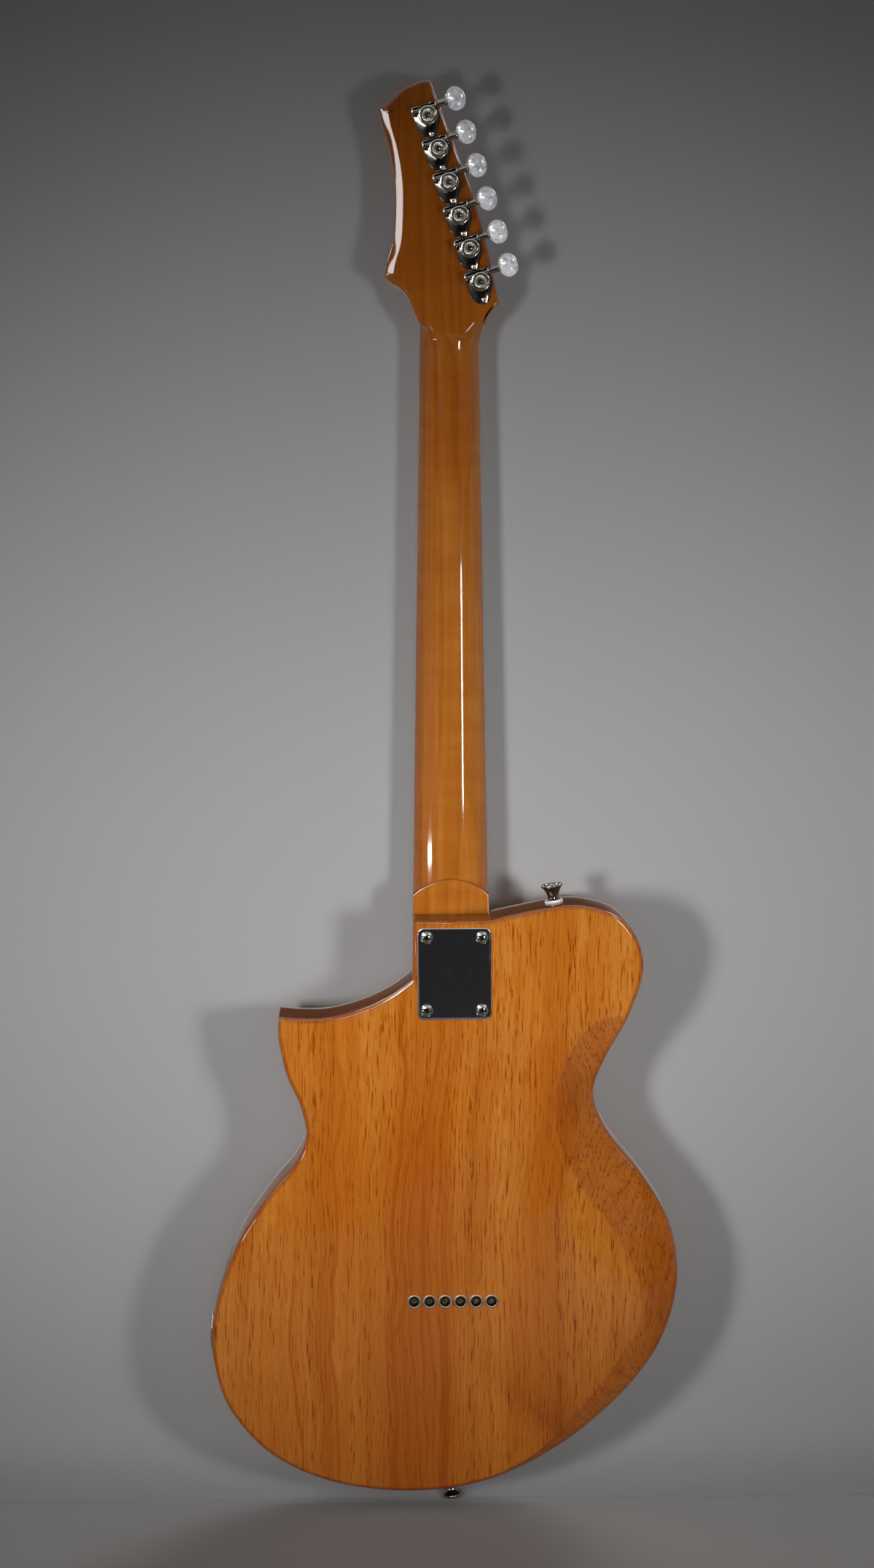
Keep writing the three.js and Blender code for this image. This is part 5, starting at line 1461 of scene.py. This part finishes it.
def make_light():
    # two key lamps low beside the camera, which throw the soft shadows on the backdrop
    lamp("key_right", 41, 1.5, -0.36, -0.4, (0.22, 0.34), 1.2, 52)
    lamp("key_left", -39, 1.5, -0.4, -0.42, (0.22, 0.34), 1.6, 52)
    # a broad one between them that throws none that shows
    lamp("broad", 2, 1.5, -0.34, -0.43, (1.1, 0.5), 0.42, 52)
    lamp("face_fill", 160, 2.4, 0.9, -0.35, (1.4, 1.4), 38)
    # strips and boxes that the lacquer and the metal mirror: the neck's needle and its short mark,
    # the rolled edge of the headstock, the upper edges of the body, and two for the face
    lamp("strip_right", 21, 1.4, -0.327, -0.327, (0.05, 0.28), 3.2, 180, True)
    lamp("strip_left", -41, 1.4, -0.52, -0.45, (0.3, 0.02), 1.3, 180, True)
    lamp("box_head", -36, 1.5, 0.24, 0.1, (1.4, 0.22), 12, 180, True)
    lamp("box_high_left", -50, 1.2, 0.6, -0.45, (0.5, 0.1), 16, 180, True)
    lamp("box_high_right", 50, 1.2, 0.6, -0.45, (0.3, 0.1), 2.5, 180, True)
    lamp("strip_face_left", 138, 1.4, 0.75, -0.4, (0.12, 0.5), 4, 180, True)
    lamp("strip_face_right", -150, 1.4, 0.4, -0.4, (0.5, 0.12), 4, 180, True)


def make_world():
    """A dim even light, and what the camera and the mirrors see in place of a room."""
    world = bpy.data.worlds.new("studio")
    bpy.context.scene.world = world
    world.use_nodes = True
    tree = world.node_tree
    back = tree.nodes["Background"]
    back.inputs["Strength"].default_value = 0.06
    back.inputs["Color"].default_value = linear("#ffffff")
    # the mirrors see the dark room on the guitar's back, and a grey wall, darker upwards,
    # before its face
    way = add(tree, "TexCoord").outputs["Generated"]
    parts = add(tree, "SeparateXYZ", {0: way})
    x, y, z = parts.outputs
    rise = add(tree, "MapRange", {0: z, 1: -0.1, 2: 0.2})
    wall = add(tree, "ValToRGB", {0: rise}, [(0, "#8e8d8c"), (0.35, "#868584"), (1, "#3c3c3d")])
    side = add(tree, "MapRange", {0: y, 1: -0.25, 2: 0.05})
    room = add(tree, "Mix", {0: side, 6: wall, 7: linear("#28282a")}, data_type="RGBA")
    # the dark room holds dim things off to its sides
    clutter = add(tree, "TexNoise", {"Vector": way, "Scale": 4.5, "Detail": 2})
    dim = add(tree, "MapRange", {0: clutter, 1: 0.47, 2: 0.62})
    aside = add(tree, "MapRange", {0: y, 1: 0.985, 2: 0.93})
    behind = add(tree, "Math", {0: side, 1: aside}, operation="MULTIPLY")
    share = add(tree, "Math", {0: dim, 1: behind}, operation="MULTIPLY")
    room = {0: share, 6: room.outputs[2], 7: linear("#8f8f92")}
    room = add(tree, "Mix", room, data_type="RGBA")
    # a pale ceiling, and side walls that are lighter than the dark room's end
    bright = add(tree, "MapRange", {0: z, 1: 0.34, 2: 0.44})
    for start, end in ((0.76, 0.9), (-0.76, -0.9)):
        flank = add(tree, "MapRange", {0: x, 1: start, 2: end, 3: 0, 4: 0.3})
        bright = add(tree, "Math", {0: bright, 1: flank}, operation="MAXIMUM")
    room = {0: bright, 6: room.outputs[2], 7: linear("#dededf")}
    room = add(tree, "Mix", room, data_type="RGBA")
    # the camera itself sees no room, only a plain wall like the backdrop, darker upwards as painted falloff
    # of light
    path = add(tree, "LightPath").outputs
    plain = add(tree, "ValToRGB", {0: rise}, [(0, "#777574"), (0.35, "#737170"), (1, "#3c3c3d")])
    seen = {0: path["Is Camera Ray"], 6: room.outputs[2], 7: plain}
    seen = add(tree, "Mix", seen, data_type="RGBA")
    shown = add(tree, "Background", {"Color": seen.outputs[2], "Strength": 1})
    watched = path["Is Camera Ray"]
    for ray in ("Is Glossy Ray", "Is Transmission Ray"):
        watched = add(tree, "Math", {0: watched, 1: path[ray]}, operation="MAXIMUM")
    mix = add(tree, "MixShader", {0: watched, 1: back, 2: shown})
    tree.links.new(mix.outputs[0], tree.nodes["World Output"].inputs["Surface"])


def make_camera():
    # the focal length and the height of the photograph, both in its pixels
    focal_length, photo_height = 4000, 2154
    yaw, pitch, roll = radians(1.2), radians(6.26), radians(-0.15)
    target, distance = Vector((9.75, 22, -304.4)) * mm, 2.0144
    back = Vector((sin(yaw) * cos(pitch), cos(yaw) * cos(pitch), sin(pitch)))
    right = (-back).cross(Z).normalized()
    up = right.cross(-back)
    right, up = right * cos(roll) + up * sin(roll), up * cos(roll) - right * sin(roll)
    data = bpy.data.cameras.new("camera")
    data.sensor_fit = "VERTICAL"
    data.sensor_height = 36
    data.lens = data.sensor_height * focal_length / photo_height
    data.clip_start, data.clip_end = 0.05, 50
    camera = bpy.data.objects.new("camera", data)
    bpy.context.scene.collection.objects.link(camera)
    turn = Matrix((right, up, back)).transposed().to_4x4()
    turn.translation = target + back * distance
    camera.matrix_world = turn
    bpy.context.scene.camera = camera


make_stage()
make_light()
make_world()
make_camera()
bpy.context.scene.view_settings.view_transform = "Standard"
